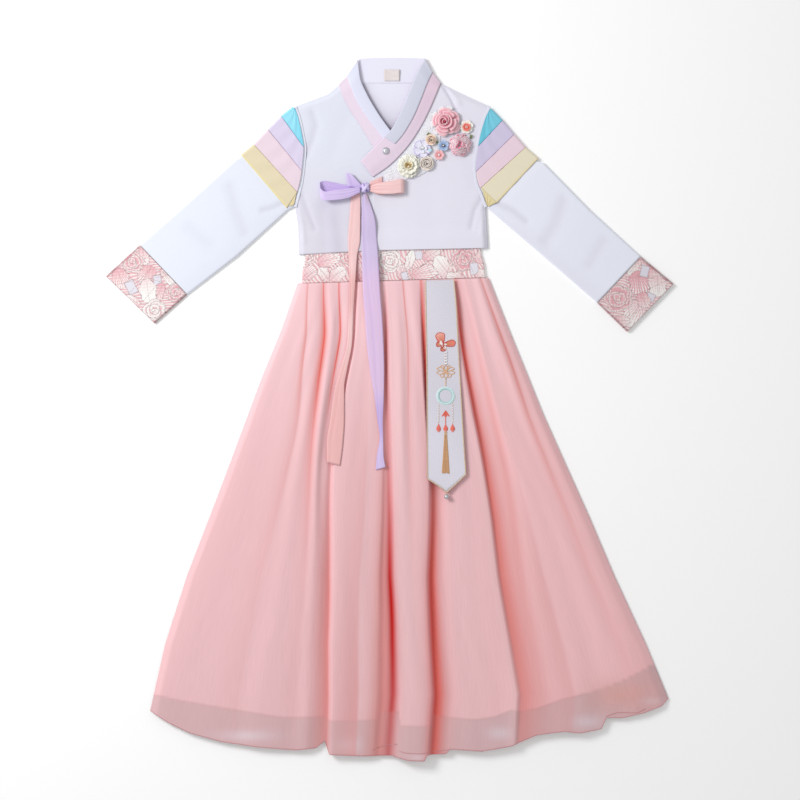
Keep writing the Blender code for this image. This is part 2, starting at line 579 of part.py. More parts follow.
def build_skirt():
    steps = 3
    columns = [i / steps for i in range((len(FOLDS) - 1) * steps + 1)]

    def front(column, row):
        i = min(int(column), len(FOLDS) - 2)
        rough = lerp(FOLDS[i][1][0], FOLDS[i + 1][1][0], column - i)
        level = skirt_plan(rough, row)[2]
        shares, heights = fold_lines(level)
        share = lerp(shares[i], shares[i + 1], column - i)
        x, y, _ = skirt_plan(share, row)
        return x, y, monotone(shares, heights, share)
    cloth("skirt_front", columns, SKIRT_ROWS, front, "sheer_pink")

    def back(share, row):
        x, y, _ = skirt_plan(lerp(0.002, 0.998, share), row)
        return x, y, 0.0
    cloth("skirt_back", spaced(14), (0.0, 0.2, 0.5, 0.8, 1.0, 1.5, 1.95), back, "sheer_pink")

    def lining(point, row):
        share, top = point
        y = lerp(lerp(*WAIST_SEAM, share) - SEAM, LINING_END, row)
        x = lerp(*skirt_sides(y), share)
        if not top:
            return x, y, LINING_BOTTOM
        if share in LINING_SHARES:
            return x, y, LINING_LOW
        return x, y, max(LINING_LOW, lowest_front(share, y) - LINING_CLEARANCE)
    top = [(lerp(LINING_SHARES[1], LINING_SHARES[0], share), True) for share in spaced(44)]
    bottom = [(lerp(*LINING_SHARES, share), False) for share in spaced(8)]
    cloth("skirt_lining", top + bottom + top[:1], spaced(10), lining, "lining_pink", outer=True)
    flat_tube("waistband", WAISTBAND, "brocade", flat=8)


def support_height(x, y):
    """Top of the jacket, waistband or skirt under a plan point, for what lies on it."""
    if y > read(HEM_LINE, x) - 3.0:
        height = over_height(x, y) if x > OVER_EDGE[0][1] - 3.0 else under_height(x, y)
        return height + WALL
    if y > WAIST_SEAM[0] - 3.0:
        return WAISTBAND[0][3]
    return front_height(x, y) + 1.2 * WALL


def resting_height(left, right, reach):
    """Height at which a strip clears all that lies under it, up to a reach along it."""
    points = [
        (lerp(left[0], right[0], across) + (across - 0.5) * 2.0 * MARGIN,
         lerp(left[1], right[1], across) + along)
        for across in spaced(6) for along in (-reach, -reach / 2, 0.0, reach / 2, reach)
    ]
    return max(support_height(x, y) for x, y in points) + GAP


def strip_heights(rows):
    """A resting height for each row of a strip, over the stretch to the rows next to it."""
    middles = [(left[1] + right[1]) / 2.0 for left, right in rows]
    gaps = [abs(b - a) for a, b in zip(middles, middles[1:])]
    reaches = [max(gaps[max(i - 1, 0)], gaps[min(i, len(gaps) - 1)]) for i in range(len(rows))]
    return [resting_height(*row, reach) for row, reach in zip(rows, reaches)]


def build_strip(name, rows, heights, columns, material):
    def place(share, i):
        return (*between(*rows[i], share), heights[i])
    return cloth(name, columns, range(len(rows)), place, material)


def build_bow():
    centre, size = KNOT
    bm = bmesh.new()
    bmesh.ops.create_uvsphere(bm, u_segments=12, v_segments=8, radius=1.0)
    for vertex in bm.verts:
        vertex.co = Vector(a * b for a, b in zip(vertex.co, size)) * MM
    knot = finish("bow_knot", bm, "lilac")
    knot.location = (Vector(centre) - CENTRE) * MM

    for name, rows, material in (("lilac", LOOP_LILAC, "lilac"), ("pink", LOOP_PINK, "peach")):
        def loop(side, i, rows=rows):
            x, y, z, half = rows[len(rows) - 1 - i]
            return x, y + side * half, z
        cloth(f"bow_loop_{name}", (-1.0, 0.0, 1.0), range(len(rows)), loop, material, outer=True)

    for name, (corners, height), material in (("lilac", STUB_LILAC, "lilac"),
                                              ("pink", STUB_PINK, "peach")):
        def stub(share, row, corners=corners, height=height):
            near = between(corners[0], corners[1], share)
            far = between(corners[3], corners[2], share)
            return (*between(near, far, row), height)
        cloth(f"bow_stub_{name}", spaced(2), spaced(2), stub, material)

    pink = strip_heights(TAIL_PINK)
    build_strip("bow_tail_pink", TAIL_PINK, pink, spaced(2), "peach")
    lilac = [height + LAYER * (row[0][1] > 260.0) for height, row in
             zip(strip_heights(TAIL_LILAC), TAIL_LILAC)]
    build_strip("bow_tail_lilac", TAIL_LILAC, lilac, spaced(2), "lilac")


def build_belt():
    heights = strip_heights(BELT)

    def panel(share, i):
        x, y = between(*BELT[i], share)
        if i == len(BELT) - 1:
            reach = 1.0 - abs(2.0 * share - 1.0)
            y = lerp(y, BELT_TIP[1], reach)
        return x, y, heights[i]
    cloth("belt_panel", spaced(4), range(len(BELT)), panel, "white_cloth")

    last = len(BELT) - 1
    path = [(left, (1.0, 0.0), heights[i]) for i, (left, right) in enumerate(BELT)]
    path.append((BELT_TIP, (0.0, 1.6), heights[last]))
    path += [(BELT[i][1], (-1.0, 0.0), heights[i]) for i in range(last, -1, -1)]

    def binding(inset, i):
        (x, y), (inward_x, inward_y), height = path[i]
        x += inward_x * (0.4 + inset * BINDING_WIDTH)
        y += inward_y * (0.4 + inset * BINDING_WIDTH)
        return x, y, height + LAYER
    cloth("belt_binding", (0.0, 1.0), range(len(path)), binding, "gold")

    neck = BELT_TIP[1] - SEAM - BEAD[1]
    profile = [(0.0, neck), (0.9, neck), (0.9, 3.8)]
    profile += [(BEAD_RADIUS * math.sin(angle), BEAD_RADIUS * math.cos(angle))
                for angle in (math.pi * i / 8 for i in range(1, 8))]
    profile.append((0.0, -BEAD_RADIUS))
    bead_height = heights[last] + 0.5
    turned("belt_bead", profile, Matrix.Translation((*BEAD, bead_height)) @
           Matrix.Rotation(-math.pi / 2.0, 4, "X"), "silver", steps=12)


def bloom(name, centre, radius, petals, notch, height, base, material, segments):
    """A low domed flower with notched petals and a flat underside."""
    rim = 1.2
    bm = bmesh.new()
    bmesh.ops.create_uvsphere(bm, u_segments=segments, v_segments=6, radius=1.0)
    for vertex in bm.verts:
        angle = math.atan2(vertex.co.y, vertex.co.x)
        level = vertex.co.z
        reach = radius * (1.0 - notch * (0.5 + 0.5 * math.cos(petals * angle)))
        rise = rim + (height - rim) * level if level > -0.1 else 0.0
        vertex.co = (vertex.co.x * reach * MM, vertex.co.y * reach * MM, rise * MM)
    obj = finish(name, bm, material)
    obj.location = (Vector((*centre, base)) - CENTRE) * MM
    return obj


def build_ornament():
    height = over_height(60.0, 400.0) + LAYER
    build_strip("lace_patch", LACE, [height] * len(LACE), spaced(2), "white_cloth")
    for name, centre, radius, petals, notch, rise, base, material in FLOWERS:
        bloom(f"flower_{name}", centre, radius, petals, notch, rise, base, material,
              2 * petals if petals > 6 else 3 * petals)
    for i, (centre, radius, base) in enumerate(LEAVES, start=1):
        bloom(f"leaf_{i}", centre, radius, 2, 0.45, 2.4, base, "leaf_green", 8)


def main():
    for obj in list(bpy.data.objects):
        bpy.data.objects.remove(obj)
    collection = bpy.data.collections.new("hanbok")
    bpy.context.scene.collection.children.link(collection)
    for name, (colour, roughness) in MATERIALS.items():
        material = bpy.data.materials.new(name)
        material.use_nodes = True
        shader = material.node_tree.nodes["Principled BSDF"]
        shader.inputs["Base Color"].default_value = (*colour, 1.0)
        shader.inputs["Roughness"].default_value = roughness
        shader.inputs["Metallic"].default_value = 1.0 if name in ("gold", "silver") else 0.0
    build_jacket()
    build_collar()
    build_sleeve("left", SLEEVE_LEFT, CUFF_LEFT, STRIPES_LEFT, armhole_left)
    build_sleeve("right", SLEEVE_RIGHT, CUFF_RIGHT, STRIPES_RIGHT, armhole_right)
    build_skirt()
    build_bow()
    build_belt()
    build_ornament()


main()
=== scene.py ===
"""Dressed scene of the child's hanbok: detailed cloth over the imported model, floor, light, camera.

Tables are in millimetres from the middle of the set, as in the part's source.
"""

import math
import random

import bpy
import numpy as np
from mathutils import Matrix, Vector


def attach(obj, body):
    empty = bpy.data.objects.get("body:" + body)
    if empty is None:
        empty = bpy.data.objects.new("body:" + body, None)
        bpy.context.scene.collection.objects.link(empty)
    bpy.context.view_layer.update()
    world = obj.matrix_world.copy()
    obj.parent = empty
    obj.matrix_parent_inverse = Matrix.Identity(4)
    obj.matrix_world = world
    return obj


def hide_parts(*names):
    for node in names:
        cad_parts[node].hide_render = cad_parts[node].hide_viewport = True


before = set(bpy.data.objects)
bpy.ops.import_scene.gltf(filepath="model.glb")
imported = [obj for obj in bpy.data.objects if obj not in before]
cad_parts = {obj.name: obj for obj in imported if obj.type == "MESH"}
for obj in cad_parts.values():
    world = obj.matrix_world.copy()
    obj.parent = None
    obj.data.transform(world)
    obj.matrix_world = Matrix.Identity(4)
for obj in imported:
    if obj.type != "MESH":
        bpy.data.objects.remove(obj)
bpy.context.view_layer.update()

MM = 0.001
CENTRE = np.array((0.35, -1.97, 0.0))
WALL = 1.0
GAP = 0.4
LAYER = WALL + GAP
SEAM = 0.4
CLOTH = 0.8
FAR = 1e9

# Heights of the stacked jacket layers over the floor
EDGE_HEIGHT = LAYER
UNDER_FRONT_HEIGHT = 2 * LAYER
HEM_LIFT = 1.4
HEM_LIFT_TOP, HEM_LIFT_LENGTH = 275.0, 25.0
EDGE_ROUNDING = 8.0
STRIPE_TOP = 5.6
CROSSING_LIFT = 1.4

# Jacket outline: height up the jacket, left edge, right edge (the first row is the hem)
BODY = (
    (229.0, -135.8, 148.2), (250.0, -136.5, 147.6), (272.0, -137.2, 146.3),
    (300.0, -141.5, 144.7), (320.0, -136.3, 137.0), (340.0, -131.5, 129.3),
    (362.0, -128.8, 127.0), (388.0, -126.8, 130.3), (408.0, -129.6, 133.9),
    (436.0, -135.8, 142.4), (452.0, -141.7, 150.2), (470.0, -92.5, 111.3),
    (487.0, -72.5, 77.0),
)
HEM_LINE = ((-136.0, 229.2), (-25.0, 235.5), (149.0, 239.3))
UNDERARM, SHOULDER_TIP = 300.0, 452.0
# Inner edges of the two fronts: height up the jacket, edge
UNDER_EDGE = (
    (229.0, 46.0), (320.0, 46.0), (334.0, 38.0), (371.0, 8.0), (400.0, -16.0),
    (427.0, -34.0), (457.0, -53.0), (487.0, -67.0),
)
OVER_EDGE = (
    (229.0, -25.5), (344.0, -25.5), (359.0, -14.0), (385.0, 8.0), (404.0, 25.0),
    (434.0, 44.0), (461.0, 58.0), (487.0, 68.0),
)

# Collar bands: outer edge, where the white strip ends, inner edge
COLLAR_UNDER = (
    ((-75.8, 485.3), (-63.8, 497.3), (-47.3, 522.8)),
    ((-70.5, 467.3), (-57.8, 480.8), (-44.3, 495.8)),
    ((-62.3, 450.8), (-48.8, 459.8), (-33.8, 470.3)),
    ((-42.8, 420.8), (-29.3, 429.8), (-14.3, 437.3)),
    ((-24.8, 390.8), (-11.3, 406.5), (0.8, 416.3)),
    ((-18.0, 380.7), (-4.5, 395.3), (7.5, 405.8)),
)
COLLAR_OVER = (
    ((77.3, 486.8), (64.5, 503.3), (53.3, 524.3)),
    ((73.5, 477.8), (56.3, 485.3), (41.3, 501.8)),
    ((65.3, 458.3), (48.8, 465.8), (30.8, 476.3)),
    ((51.8, 429.8), (36.0, 435.8), (18.0, 445.5)),
    ((32.3, 398.3), (18.8, 407.3), (3.8, 418.5)),
    ((18.8, 381.8), (8.3, 395.3), (-8.3, 405.8)),
    ((0.8, 363.8), (-9.0, 377.0), (-24.8, 388.5)),
    ((-24.8, 345.8), (-33.0, 357.0), (-43.5, 369.8)),
)
WHITE_STRIP_ROWS = 6
COLLAR_BACK = ((487.4, -71.0, 75.5), (514.0, -51.8, 58.5), (524.3, -45.8, 53.3))
LABEL = ((-8.0, 490.5), (15.0, 507.8))
SNAP = (-5.3, 384.8)

# Sleeves from cuff seam to armhole: upper edge, lower edge, bottom height, thickness
SLEEVE_LEFT = (
    ((-374.7, 244.4), (-303.5, 169.8), 0.0, 4.6),
    ((-299.3, 311.3), (-228.8, 227.3), 0.0, 5.6),
    ((-230.3, 372.8), (-159.5, 290.0), 0.0, 4.6),
    ((-222.5, 376.3), (-153.7, 295.9), 1.4, 2.8),
    ((-142.5, 448.0), (-142.5, 303.0), 1.4, 2.8),
)
SLEEVE_RIGHT = (
    ((377.3, 226.8), (311.7, 157.1), 0.0, 4.6),
    ((300.8, 296.3), (237.8, 221.3), 0.0, 5.6),
    ((231.3, 367.5), (158.9, 288.6), 0.0, 4.6),
    ((221.5, 369.8), (153.4, 293.9), 1.4, 2.8),
    ((148.5, 442.5), (146.0, 303.0), 1.4, 2.8),
)
CUFF_LEFT = (((-375.1, 244.0), (-303.9, 169.4)), ((-425.9, 197.3), (-352.7, 125.9)))
CUFF_RIGHT = (((377.7, 226.4), (312.1, 156.7)), ((426.6, 185.7), (356.6, 113.6)))
CUFF_THICKNESS = (4.6, 5.0)
# Upper-arm stripe lines: upper edge, height of its end on the armhole (or its own end)
STRIPES_LEFT = (
    ((-145.5, 451.5), 447.0), ((-162.8, 438.0), 388.4), ((-182.7, 417.8), 353.3),
    ((-204.0, 395.3), 321.0), ((-223.2, 379.4), (-152.6, 296.9)),
)
STRIPES_RIGHT = (
    ((153.0, 449.0), 445.0), ((170.0, 431.3), 389.3), ((187.8, 410.3), 351.8),
    ((204.8, 390.8), 327.0), ((224.0, 374.3), (159.3, 304.7)),
)
STRIPE_NAMES = ("cyan", "lilac", "pink", "yellow")

# Waistband from its lower seam up into the jacket: left edge, right edge, bottom height, thickness
WAISTBAND = (
    ((-131.3, 186.6), (144.3, 195.2), 0.0, 5.0),
    ((-130.8, 206.3), (142.0, 214.5), 0.0, 4.6),
    ((-127.5, 221.0), (137.5, 231.0), 0.0, 3.8),
    ((-126.9, 228.0), (136.9, 238.0), 1.4, 2.4),
    ((-126.5, 245.0), (136.0, 252.0), 1.4, 2.4),
)

# Skirt sides: height up the garment, left edge, right edge
WAIST_SEAM = (186.3, 194.9)
SKIRT_SIDES = (
    (195.0, -134.3, 148.5), (113.0, -162.9, 180.6), (44.0, -191.4, 208.6),
    (-10.0, -211.5, 230.3), (-112.0, -249.6, 276.0), (-167.0, -270.7, 300.7),
    (-253.0, -303.8, 337.3), (-356.0, -336.7, 385.0), (-437.0, -355.1, 418.5),
)
HEM_START = -430.0
HEM = (
    (-359.3, -455.3), (-330.8, -473.3), (-299.3, -488.3), (-249.8, -501.8), (-195.8, -509.3),
    (-141.8, -513.8), (-110.3, -510.8), (-97.0, -500.0), (-90.0, -520.5), (-39.8, -522.8),
    (3.8, -522.2), (27.8, -528.8), (51.8, -529.7), (56.5, -520.5), (84.8, -519.5),
    (90.2, -512.3), (138.8, -515.3), (182.3, -507.8), (219.8, -491.3), (263.3, -485.3),
    (284.3, -488.3), (317.3, -482.3), (325.0, -465.0), (348.8, -465.8), (381.8, -458.3),
    (408.8, -447.8), (418.5, -437.3),
)
# Fold lines of the skirt front, across its width and in height, at five levels down the skirt
LEVELS = (190.0, 94.0, -49.0, -289.0, -500.0)
FOLDS = (
    # fold line, share of the width at each level, height at each level
    ("left side", (0.000, 0.000, 0.000, 0.000, 0.000), (1.4, 1.4, 1.4, 1.4, 1.4)),
    ("left crown", (0.024, 0.024, 0.022, 0.018, 0.016), (6.0, 7.5, 8.5, 8.5, 7.0)),
    ("first valley", (0.048, 0.122, 0.175, 0.170, 0.160), (7.2, 9.5, 10.5, 11.0, 9.0)),
    ("first ridge", (0.095, 0.155, 0.205, 0.220, 0.220), (8.0, 11.0, 12.5, 13.5, 11.0)),
    ("second valley", (0.130, 0.200, 0.232, 0.275, 0.275), (7.2, 9.0, 11.5, 12.0, 9.5)),
    ("second ridge", (0.168, 0.231, 0.252, 0.296, 0.298), (8.0, 13.0, 15.0, 14.0, 10.0)),
    ("third valley", (0.210, 0.264, 0.270, 0.314, 0.316), (7.2, 9.5, 11.5, 11.0, 7.5)),
    ("third ridge", (0.255, 0.292, 0.288, 0.325, 0.330), (8.0, 10.5, 10.0, 7.5, 5.5)),
    ("panel foot", (0.305, 0.321, 0.300, 0.336, 0.341), (6.6, 8.5, 7.5, 5.0, 4.6)),
    ("panel edge", (0.320, 0.335, 0.312, 0.347, 0.351), (7.6, 12.0, 14.0, 14.0, 12.5)),
    ("panel middle", (0.375, 0.395, 0.405, 0.400, 0.395), (8.0, 13.0, 13.0, 12.5, 11.0)),
    ("channel left", (0.424, 0.440, 0.452, 0.444, 0.428), (7.6, 11.0, 11.5, 10.5, 9.0)),
    ("channel foot", (0.436, 0.450, 0.463, 0.458, 0.442), (7.0, 9.0, 9.0, 6.5, 6.0)),
    ("channel step", (0.450, 0.461, 0.473, 0.475, 0.460), (7.0, 8.5, 8.5, 6.0, 6.0)),
    ("centre edge", (0.464, 0.482, 0.490, 0.488, 0.483), (7.5, 15.0, 17.5, 17.5, 15.0)),
    ("centre ridge", (0.505, 0.518, 0.514, 0.512, 0.500), (8.0, 15.0, 19.0, 19.0, 16.5)),
    ("centre valley", (0.544, 0.552, 0.538, 0.530, 0.515), (7.2, 13.0, 16.5, 18.5, 16.5)),
    ("bright ridge", (0.585, 0.585, 0.565, 0.546, 0.526), (8.0, 14.0, 17.0, 18.5, 16.5)),
    ("bright edge", (0.624, 0.606, 0.594, 0.554, 0.534), (7.0, 13.0, 17.0, 18.0, 16.0)),
    ("deep foot", (0.638, 0.618, 0.606, 0.566, 0.546), (6.8, 8.0, 8.0, 8.0, 9.0)),
    ("deep step", (0.655, 0.637, 0.622, 0.590, 0.566), (6.8, 9.0, 7.0, 8.5, 8.5)),
    ("belt edge", (0.690, 0.668, 0.648, 0.616, 0.586), (5.2, 12.0, 13.5, 12.5, 11.0)),
    ("belt middle", (0.750, 0.718, 0.698, 0.665, 0.640), (5.2, 13.0, 14.5, 14.0, 12.5)),
    ("right edge", (0.804, 0.767, 0.753, 0.718, 0.700), (5.2, 13.0, 15.0, 14.5, 13.0)),
    ("right foot", (0.820, 0.779, 0.764, 0.730, 0.712), (6.4, 6.5, 8.0, 9.5, 9.5)),
    ("soft side", (0.848, 0.838, 0.822, 0.775, 0.755), (7.0, 9.0, 11.0, 11.5, 10.5)),
    ("right ridge", (0.878, 0.860, 0.848, 0.828, 0.810), (8.0, 13.0, 14.5, 14.5, 12.5)),
    ("side valley", (0.907, 0.898, 0.898, 0.890, 0.880), (7.2, 11.0, 12.0, 10.5, 8.0)),
    ("side ridge", (0.935, 0.930, 0.924, 0.918, 0.905), (8.0, 11.5, 11.0, 11.0, 7.5)),
    ("last valley", (0.955, 0.955, 0.946, 0.946, 0.940), (6.6, 8.5, 9.5, 9.5, 7.5)),
    ("right crown", (0.976, 0.977, 0.976, 0.978, 0.980), (6.0, 7.0, 8.5, 8.5, 7.0)),
    ("right side", (1.000, 1.000, 1.000, 1.000, 1.000), (1.4, 1.4, 1.4, 1.4, 1.4)),
)
LINING_SHARES = (0.04, 0.96)
LINING_BOTTOM, LINING_LOW = 1.4, 3.8
LINING_END = -405.0
LINING_CLEARANCE = 1.2
LINING_REACH = 11.0

# Bow ribbons that are looped: middle of the ribbon (x, y), height, half width
LOOP_LILAC = (
    (-43.7, 327.5, 7.8, 3.5), (-62.0, 328.0, 6.0, 5.8), (-82.0, 330.5, 4.6, 7.3),
    (-98.0, 331.5, 4.4, 8.0), (-104.5, 329.0, 8.2, 8.0), (-104.0, 322.5, 13.0, 7.0),
    (-96.0, 316.2, 15.2, 6.8), (-80.0, 318.6, 14.8, 7.4), (-62.0, 321.5, 13.4, 6.8),
    (-43.7, 326.5, 11.8, 4.0),
)
LOOP_PINK = (
    (-28.6, 328.5, 8.0, 4.0), (-14.0, 329.0, 7.4, 9.0), (4.0, 330.0, 6.4, 9.5),
    (16.0, 331.3, 6.0, 10.5), (22.4, 331.5, 10.6, 10.5), (16.0, 331.3, 15.2, 10.5),
    (4.0, 329.5, 15.4, 9.8), (-14.0, 329.0, 14.2, 8.6), (-28.6, 328.0, 12.0, 4.5),
)
KNOT = ((-36.1, 329.5, 9.8), (7.2, 7.9, 5.4))
# Short ribbon ends: four corners from the knot outwards, height
STUB_LILAC = (((-38.0, 329.0), (-62.0, 331.5), (-65.4, 351.6), (-57.4, 350.6)), 8.6)
STUB_PINK = (((-31.0, 329.5), (-10.6, 332.5), (-10.6, 347.0), (-29.0, 339.5)), 5.8)
# Ribbon tails: left edge, right edge
TAIL_PINK = (
    ((-53.3, 326.5), (-45.0, 328.5)), ((-57.8, 312.8), (-43.5, 309.0)),
    ((-60.0, 284.3), (-43.5, 284.3)), ((-62.3, 251.3), (-44.0, 251.3)),
    ((-61.5, 227.3), (-48.5, 227.3)), ((-60.0, 185.3), (-51.5, 185.3)),
    ((-61.0, 138.8), (-54.5, 138.8)), ((-63.0, 98.3), (-56.0, 98.3)),
    ((-74.3, 54.8), (-64.0, 54.8)), ((-81.8, 28.5), (-67.7, 28.5)),
    ((-88.7, -17.3), (-67.7, -17.3)), ((-93.8, -53.3), (-69.8, -53.3)),
    ((-93.8, -82.0), (-74.0, -87.0)),
)
TAIL_LILAC = (
    ((-39.5, 320.6), (-34.0, 320.6)), ((-41.3, 311.3), (-31.0, 311.3)),
    ((-41.5, 296.3), (-25.5, 296.3)), ((-42.0, 278.3), (-20.9, 278.3)),
    ((-42.0, 251.3), (-18.8, 251.3)), ((-41.3, 227.3), (-16.8, 227.3)),
    ((-39.8, 176.3), (-14.0, 176.3)), ((-36.5, 134.3), (-10.8, 134.3)),
    ((-34.1, 98.3), (-8.9, 98.3)), ((-29.3, 56.3), (-7.8, 56.3)),
    ((-22.1, 14.3), (-8.6, 14.3)), ((-17.5, -21.8), (-10.0, -21.8)),
    ((-14.5, -46.0), (-9.5, -46.0)), ((-18.8, -71.3), (-8.9, -71.3)),
    ((-20.7, -93.8), (-6.0, -89.3)),
)
# Belt panel: left edge, right edge
BELT = (
    ((53.0, 190.2), (97.0, 191.6)), ((53.6, 150.0), (100.9, 150.0)),
    ((54.4, 105.0), (103.2, 105.0)), ((55.2, 60.0), (105.5, 60.0)),
    ((55.5, 15.0), (107.9, 15.0)), ((55.7, -45.0), (111.5, -45.0)),
    ((56.0, -106.7), (115.2, -99.8)),
)
BELT_TIP = (85.7, -126.8)
# How far to each side of a strip its support is looked at
MARGIN = 2.0
BEAD = (85.5, -133.5)
BEAD_RADIUS = 3.9

# Chest ornament on the over front
LACE = (
    ((61.5, 444.0), (75.8, 437.3)), ((52.5, 425.3), (75.8, 408.8)), ((32.5, 393.8), (69.8, 371.3)),
    ((9.5, 368.0), (38.3, 345.8)), ((-8.0, 350.0), (-5.3, 338.3)),
)
ON_LACE = UNDER_FRONT_HEIGHT + 3 * LAYER
ON_FRONT = UNDER_FRONT_HEIGHT + 2 * LAYER
# Flowers: name, centre, radius, petals, depth of the notches, rise, height of the base, material
FLOWERS = (
    ("rose", (84.8, 428.3), 20.0, 6, 0.10, 12.0, ON_LACE, "rose_pink"),
    ("coral", (115.5, 420.5), 9.6, 5, 0.22, 7.0, ON_FRONT, "coral"),
    ("carnation", (105.8, 393.8), 16.4, 9, 0.10, 11.0, ON_FRONT, "carnation_pink"),
    ("blue", (80.7, 392.7), 8.0, 5, 0.28, 5.0, ON_LACE, "blue"),
    ("rosebud", (62.3, 401.3), 6.4, 4, 0.10, 7.0, ON_LACE, "peach"),
    ("pansy", (49.7, 387.8), 11.4, 5, 0.22, 5.0, ON_LACE, "pale_lilac"),
    ("small_pink", (74.3, 378.8), 7.1, 5, 0.28, 5.0, ON_LACE, "carnation_pink"),
    ("rosette", (56.0, 366.2), 9.7, 7, 0.08, 6.0, ON_LACE, "cream"),
    ("ivory", (28.1, 362.6), 17.6, 8, 0.14, 9.0, ON_LACE, "ivory"),
)
# Leaves: centre, length from the middle, height of the base
LEAVES = (
    ((57.8, 409.6), 2.6, ON_LACE), ((71.4, 398.3), 2.5, ON_LACE), ((122.3, 405.8), 2.8, ON_FRONT),
)


def tint(red, green, blue):
    """Linear colour from an sRGB one of 0 to 255."""
    values = np.array((red, green, blue)) / 255.0
    return ((values + 0.055) / 1.055) ** 2.4


def lerp(a, b, share):
    return a + (b - a) * share


def between(a, b, share):
    """A point part of the way between two points in plan."""
    return lerp(a[0], b[0], share), lerp(a[1], b[1], share)


def ramp(value):
    value = np.clip(value, 0.0, 1.0)
    return value * value * (3.0 - 2.0 * value)


def read(rows, key, column=1):
    """Reads a table on straight lines, by its first column, which rises."""
    return np.interp(key, [row[0] for row in rows], [row[column] for row in rows])


def monotone(xs, ys, x):
    """A smooth curve through points with rising xs, which never swings past them."""
    xs, ys, x = np.asarray(xs, float), np.asarray(ys, float), np.asarray(x, float)
    steps = np.diff(xs)
    slopes = np.diff(ys) / steps
    product, total = slopes[:-1] * slopes[1:], slopes[:-1] + slopes[1:]
    inner = np.where(product > 0.0, 2.0 * product / np.where(total == 0.0, 1.0, total), 0.0)
    tangents = np.concatenate((slopes[:1], inner, slopes[-1:]))
    i = np.clip(np.searchsorted(xs, x, side="right") - 1, 0, len(steps) - 1)
    t = np.clip((x - xs[i]) / steps[i], 0.0, 1.0)
    value = ys[i] * (1 + 2 * t) * (1 - t) ** 2 + ys[i + 1] * t * t * (3 - 2 * t)
    return value + steps[i] * (tangents[i] * t * (1 - t) ** 2 - tangents[i + 1] * t * t * (1 - t))


def along_rows(rows, params):
    """Smooth values between the rows of a table of equal rows, at row numbers."""
    table = np.array(rows, float).reshape(len(rows), -1)
    numbers = np.arange(len(rows))
    values = [monotone(numbers, table[:, i], params) for i in range(table.shape[1])]
    return np.stack(values, axis=-1)


def line_distance(x, y, line):
    """Distance in plan from points to a line of straight edges."""
    best = np.full(np.shape(x), FAR)
    for (ax, ay), (bx, by) in zip(line, line[1:]):
        ex, ey = bx - ax, by - ay
        share = np.clip(((x - ax) * ex + (y - ay) * ey) / (ex * ex + ey * ey), 0.0, 1.0)
        best = np.minimum(best, np.hypot(x - ax - share * ex, y - ay - share * ey))
    return best


def creased(x, y, creases):
    """Height that soft creases add: each is a line, its height and its half width."""
    total = np.zeros(np.shape(x))
    for line, height, width in creases:
        total += height * np.exp(-(line_distance(x, y, line) / width) ** 2)
    return total


class Pile:
    """Gathers surfaces of a piece, each a grid of points in millimetres, into one mesh."""

    def __init__(self):
        self.points, self.paint, self.quads, self.uvs, self.count = [], [], [], [], 0

    def add(self, points, paint, wrap=False, up=False):
        points = np.asarray(points, float)
        rows, columns = points.shape[:2]
        r, c = np.meshgrid(np.arange(rows - 1), np.arange(columns if wrap else columns - 1),
                           indexing="ij")
        corner_r = np.stack((r, r, r + 1, r + 1), -1).reshape(-1, 4)
        corner_c = np.stack((c, c + 1, c + 1, c), -1).reshape(-1, 4)
        normal = np.cross(points[0, 1] - points[0, 0], points[1, 0] - points[0, 0])
        if up and normal[2] < 0.0:
            corner_r, corner_c = corner_r[:, ::-1], corner_c[:, ::-1]
        self.quads.append(corner_r * columns + corner_c % columns + self.count)
        middle_row = np.concatenate((points[rows // 2], points[rows // 2, :1]))
        middle_column = points[:, columns // 2]
        across = np.cumsum(np.append(0.0, np.linalg.norm(np.diff(middle_row, axis=0), axis=1)))
        down = np.cumsum(np.append(0.0, np.linalg.norm(np.diff(middle_column, axis=0), axis=1)))
        self.uvs.append(np.stack((across[corner_c], down[corner_r]), -1).reshape(-1, 2) * MM)
        self.points.append(points.reshape(-1, 3))
        self.paint.append(np.broadcast_to(paint, (rows, columns, 3)).reshape(-1, 3))
        self.count += rows * columns
        return self

    def build(self, name, material, wall=0.0, outer=False):
        mesh = bpy.data.meshes.new(name)
        points = (np.concatenate(self.points) - CENTRE) * MM
        mesh.from_pydata(points.tolist(), [], np.concatenate(self.quads).tolist())
        layer = mesh.uv_layers.new(name="cloth")
        layer.data.foreach_set("uv", np.concatenate(self.uvs).ravel())
        paint = mesh.attributes.new("paint", "FLOAT_COLOR", "POINT")
        colours = np.concatenate(self.paint)
        full = np.concatenate((colours, np.ones((len(colours), 1))), axis=1)
        paint.data.foreach_set("color", full.ravel())
        mesh.shade_smooth()
        mesh.materials.append(MATERIALS[material])
        obj = bpy.data.objects.new(name, mesh)
        bpy.context.scene.collection.objects.link(obj)
        if wall:
            solidify = obj.modifiers.new("wall", "SOLIDIFY")
            solidify.thickness = wall * MM
            solidify.offset = -1.0 if outer else 1.0
        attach(obj, "root")
        return obj


def surface(name, points, material, paint, wall=CLOTH, outer=False, wrap=False):
    """One cloth surface: its points are the lower face of the wall, or the outer one of a tube."""
    return Pile().add(points, paint, wrap, up=True).build(name, material, wall, outer)


def dress(obj, slot, *nodes):
    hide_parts(*nodes)
    return obj


def stacked(*arrays):
    return np.stack(np.broadcast_arrays(*arrays), axis=-1)


# Materials

MATERIALS = {}


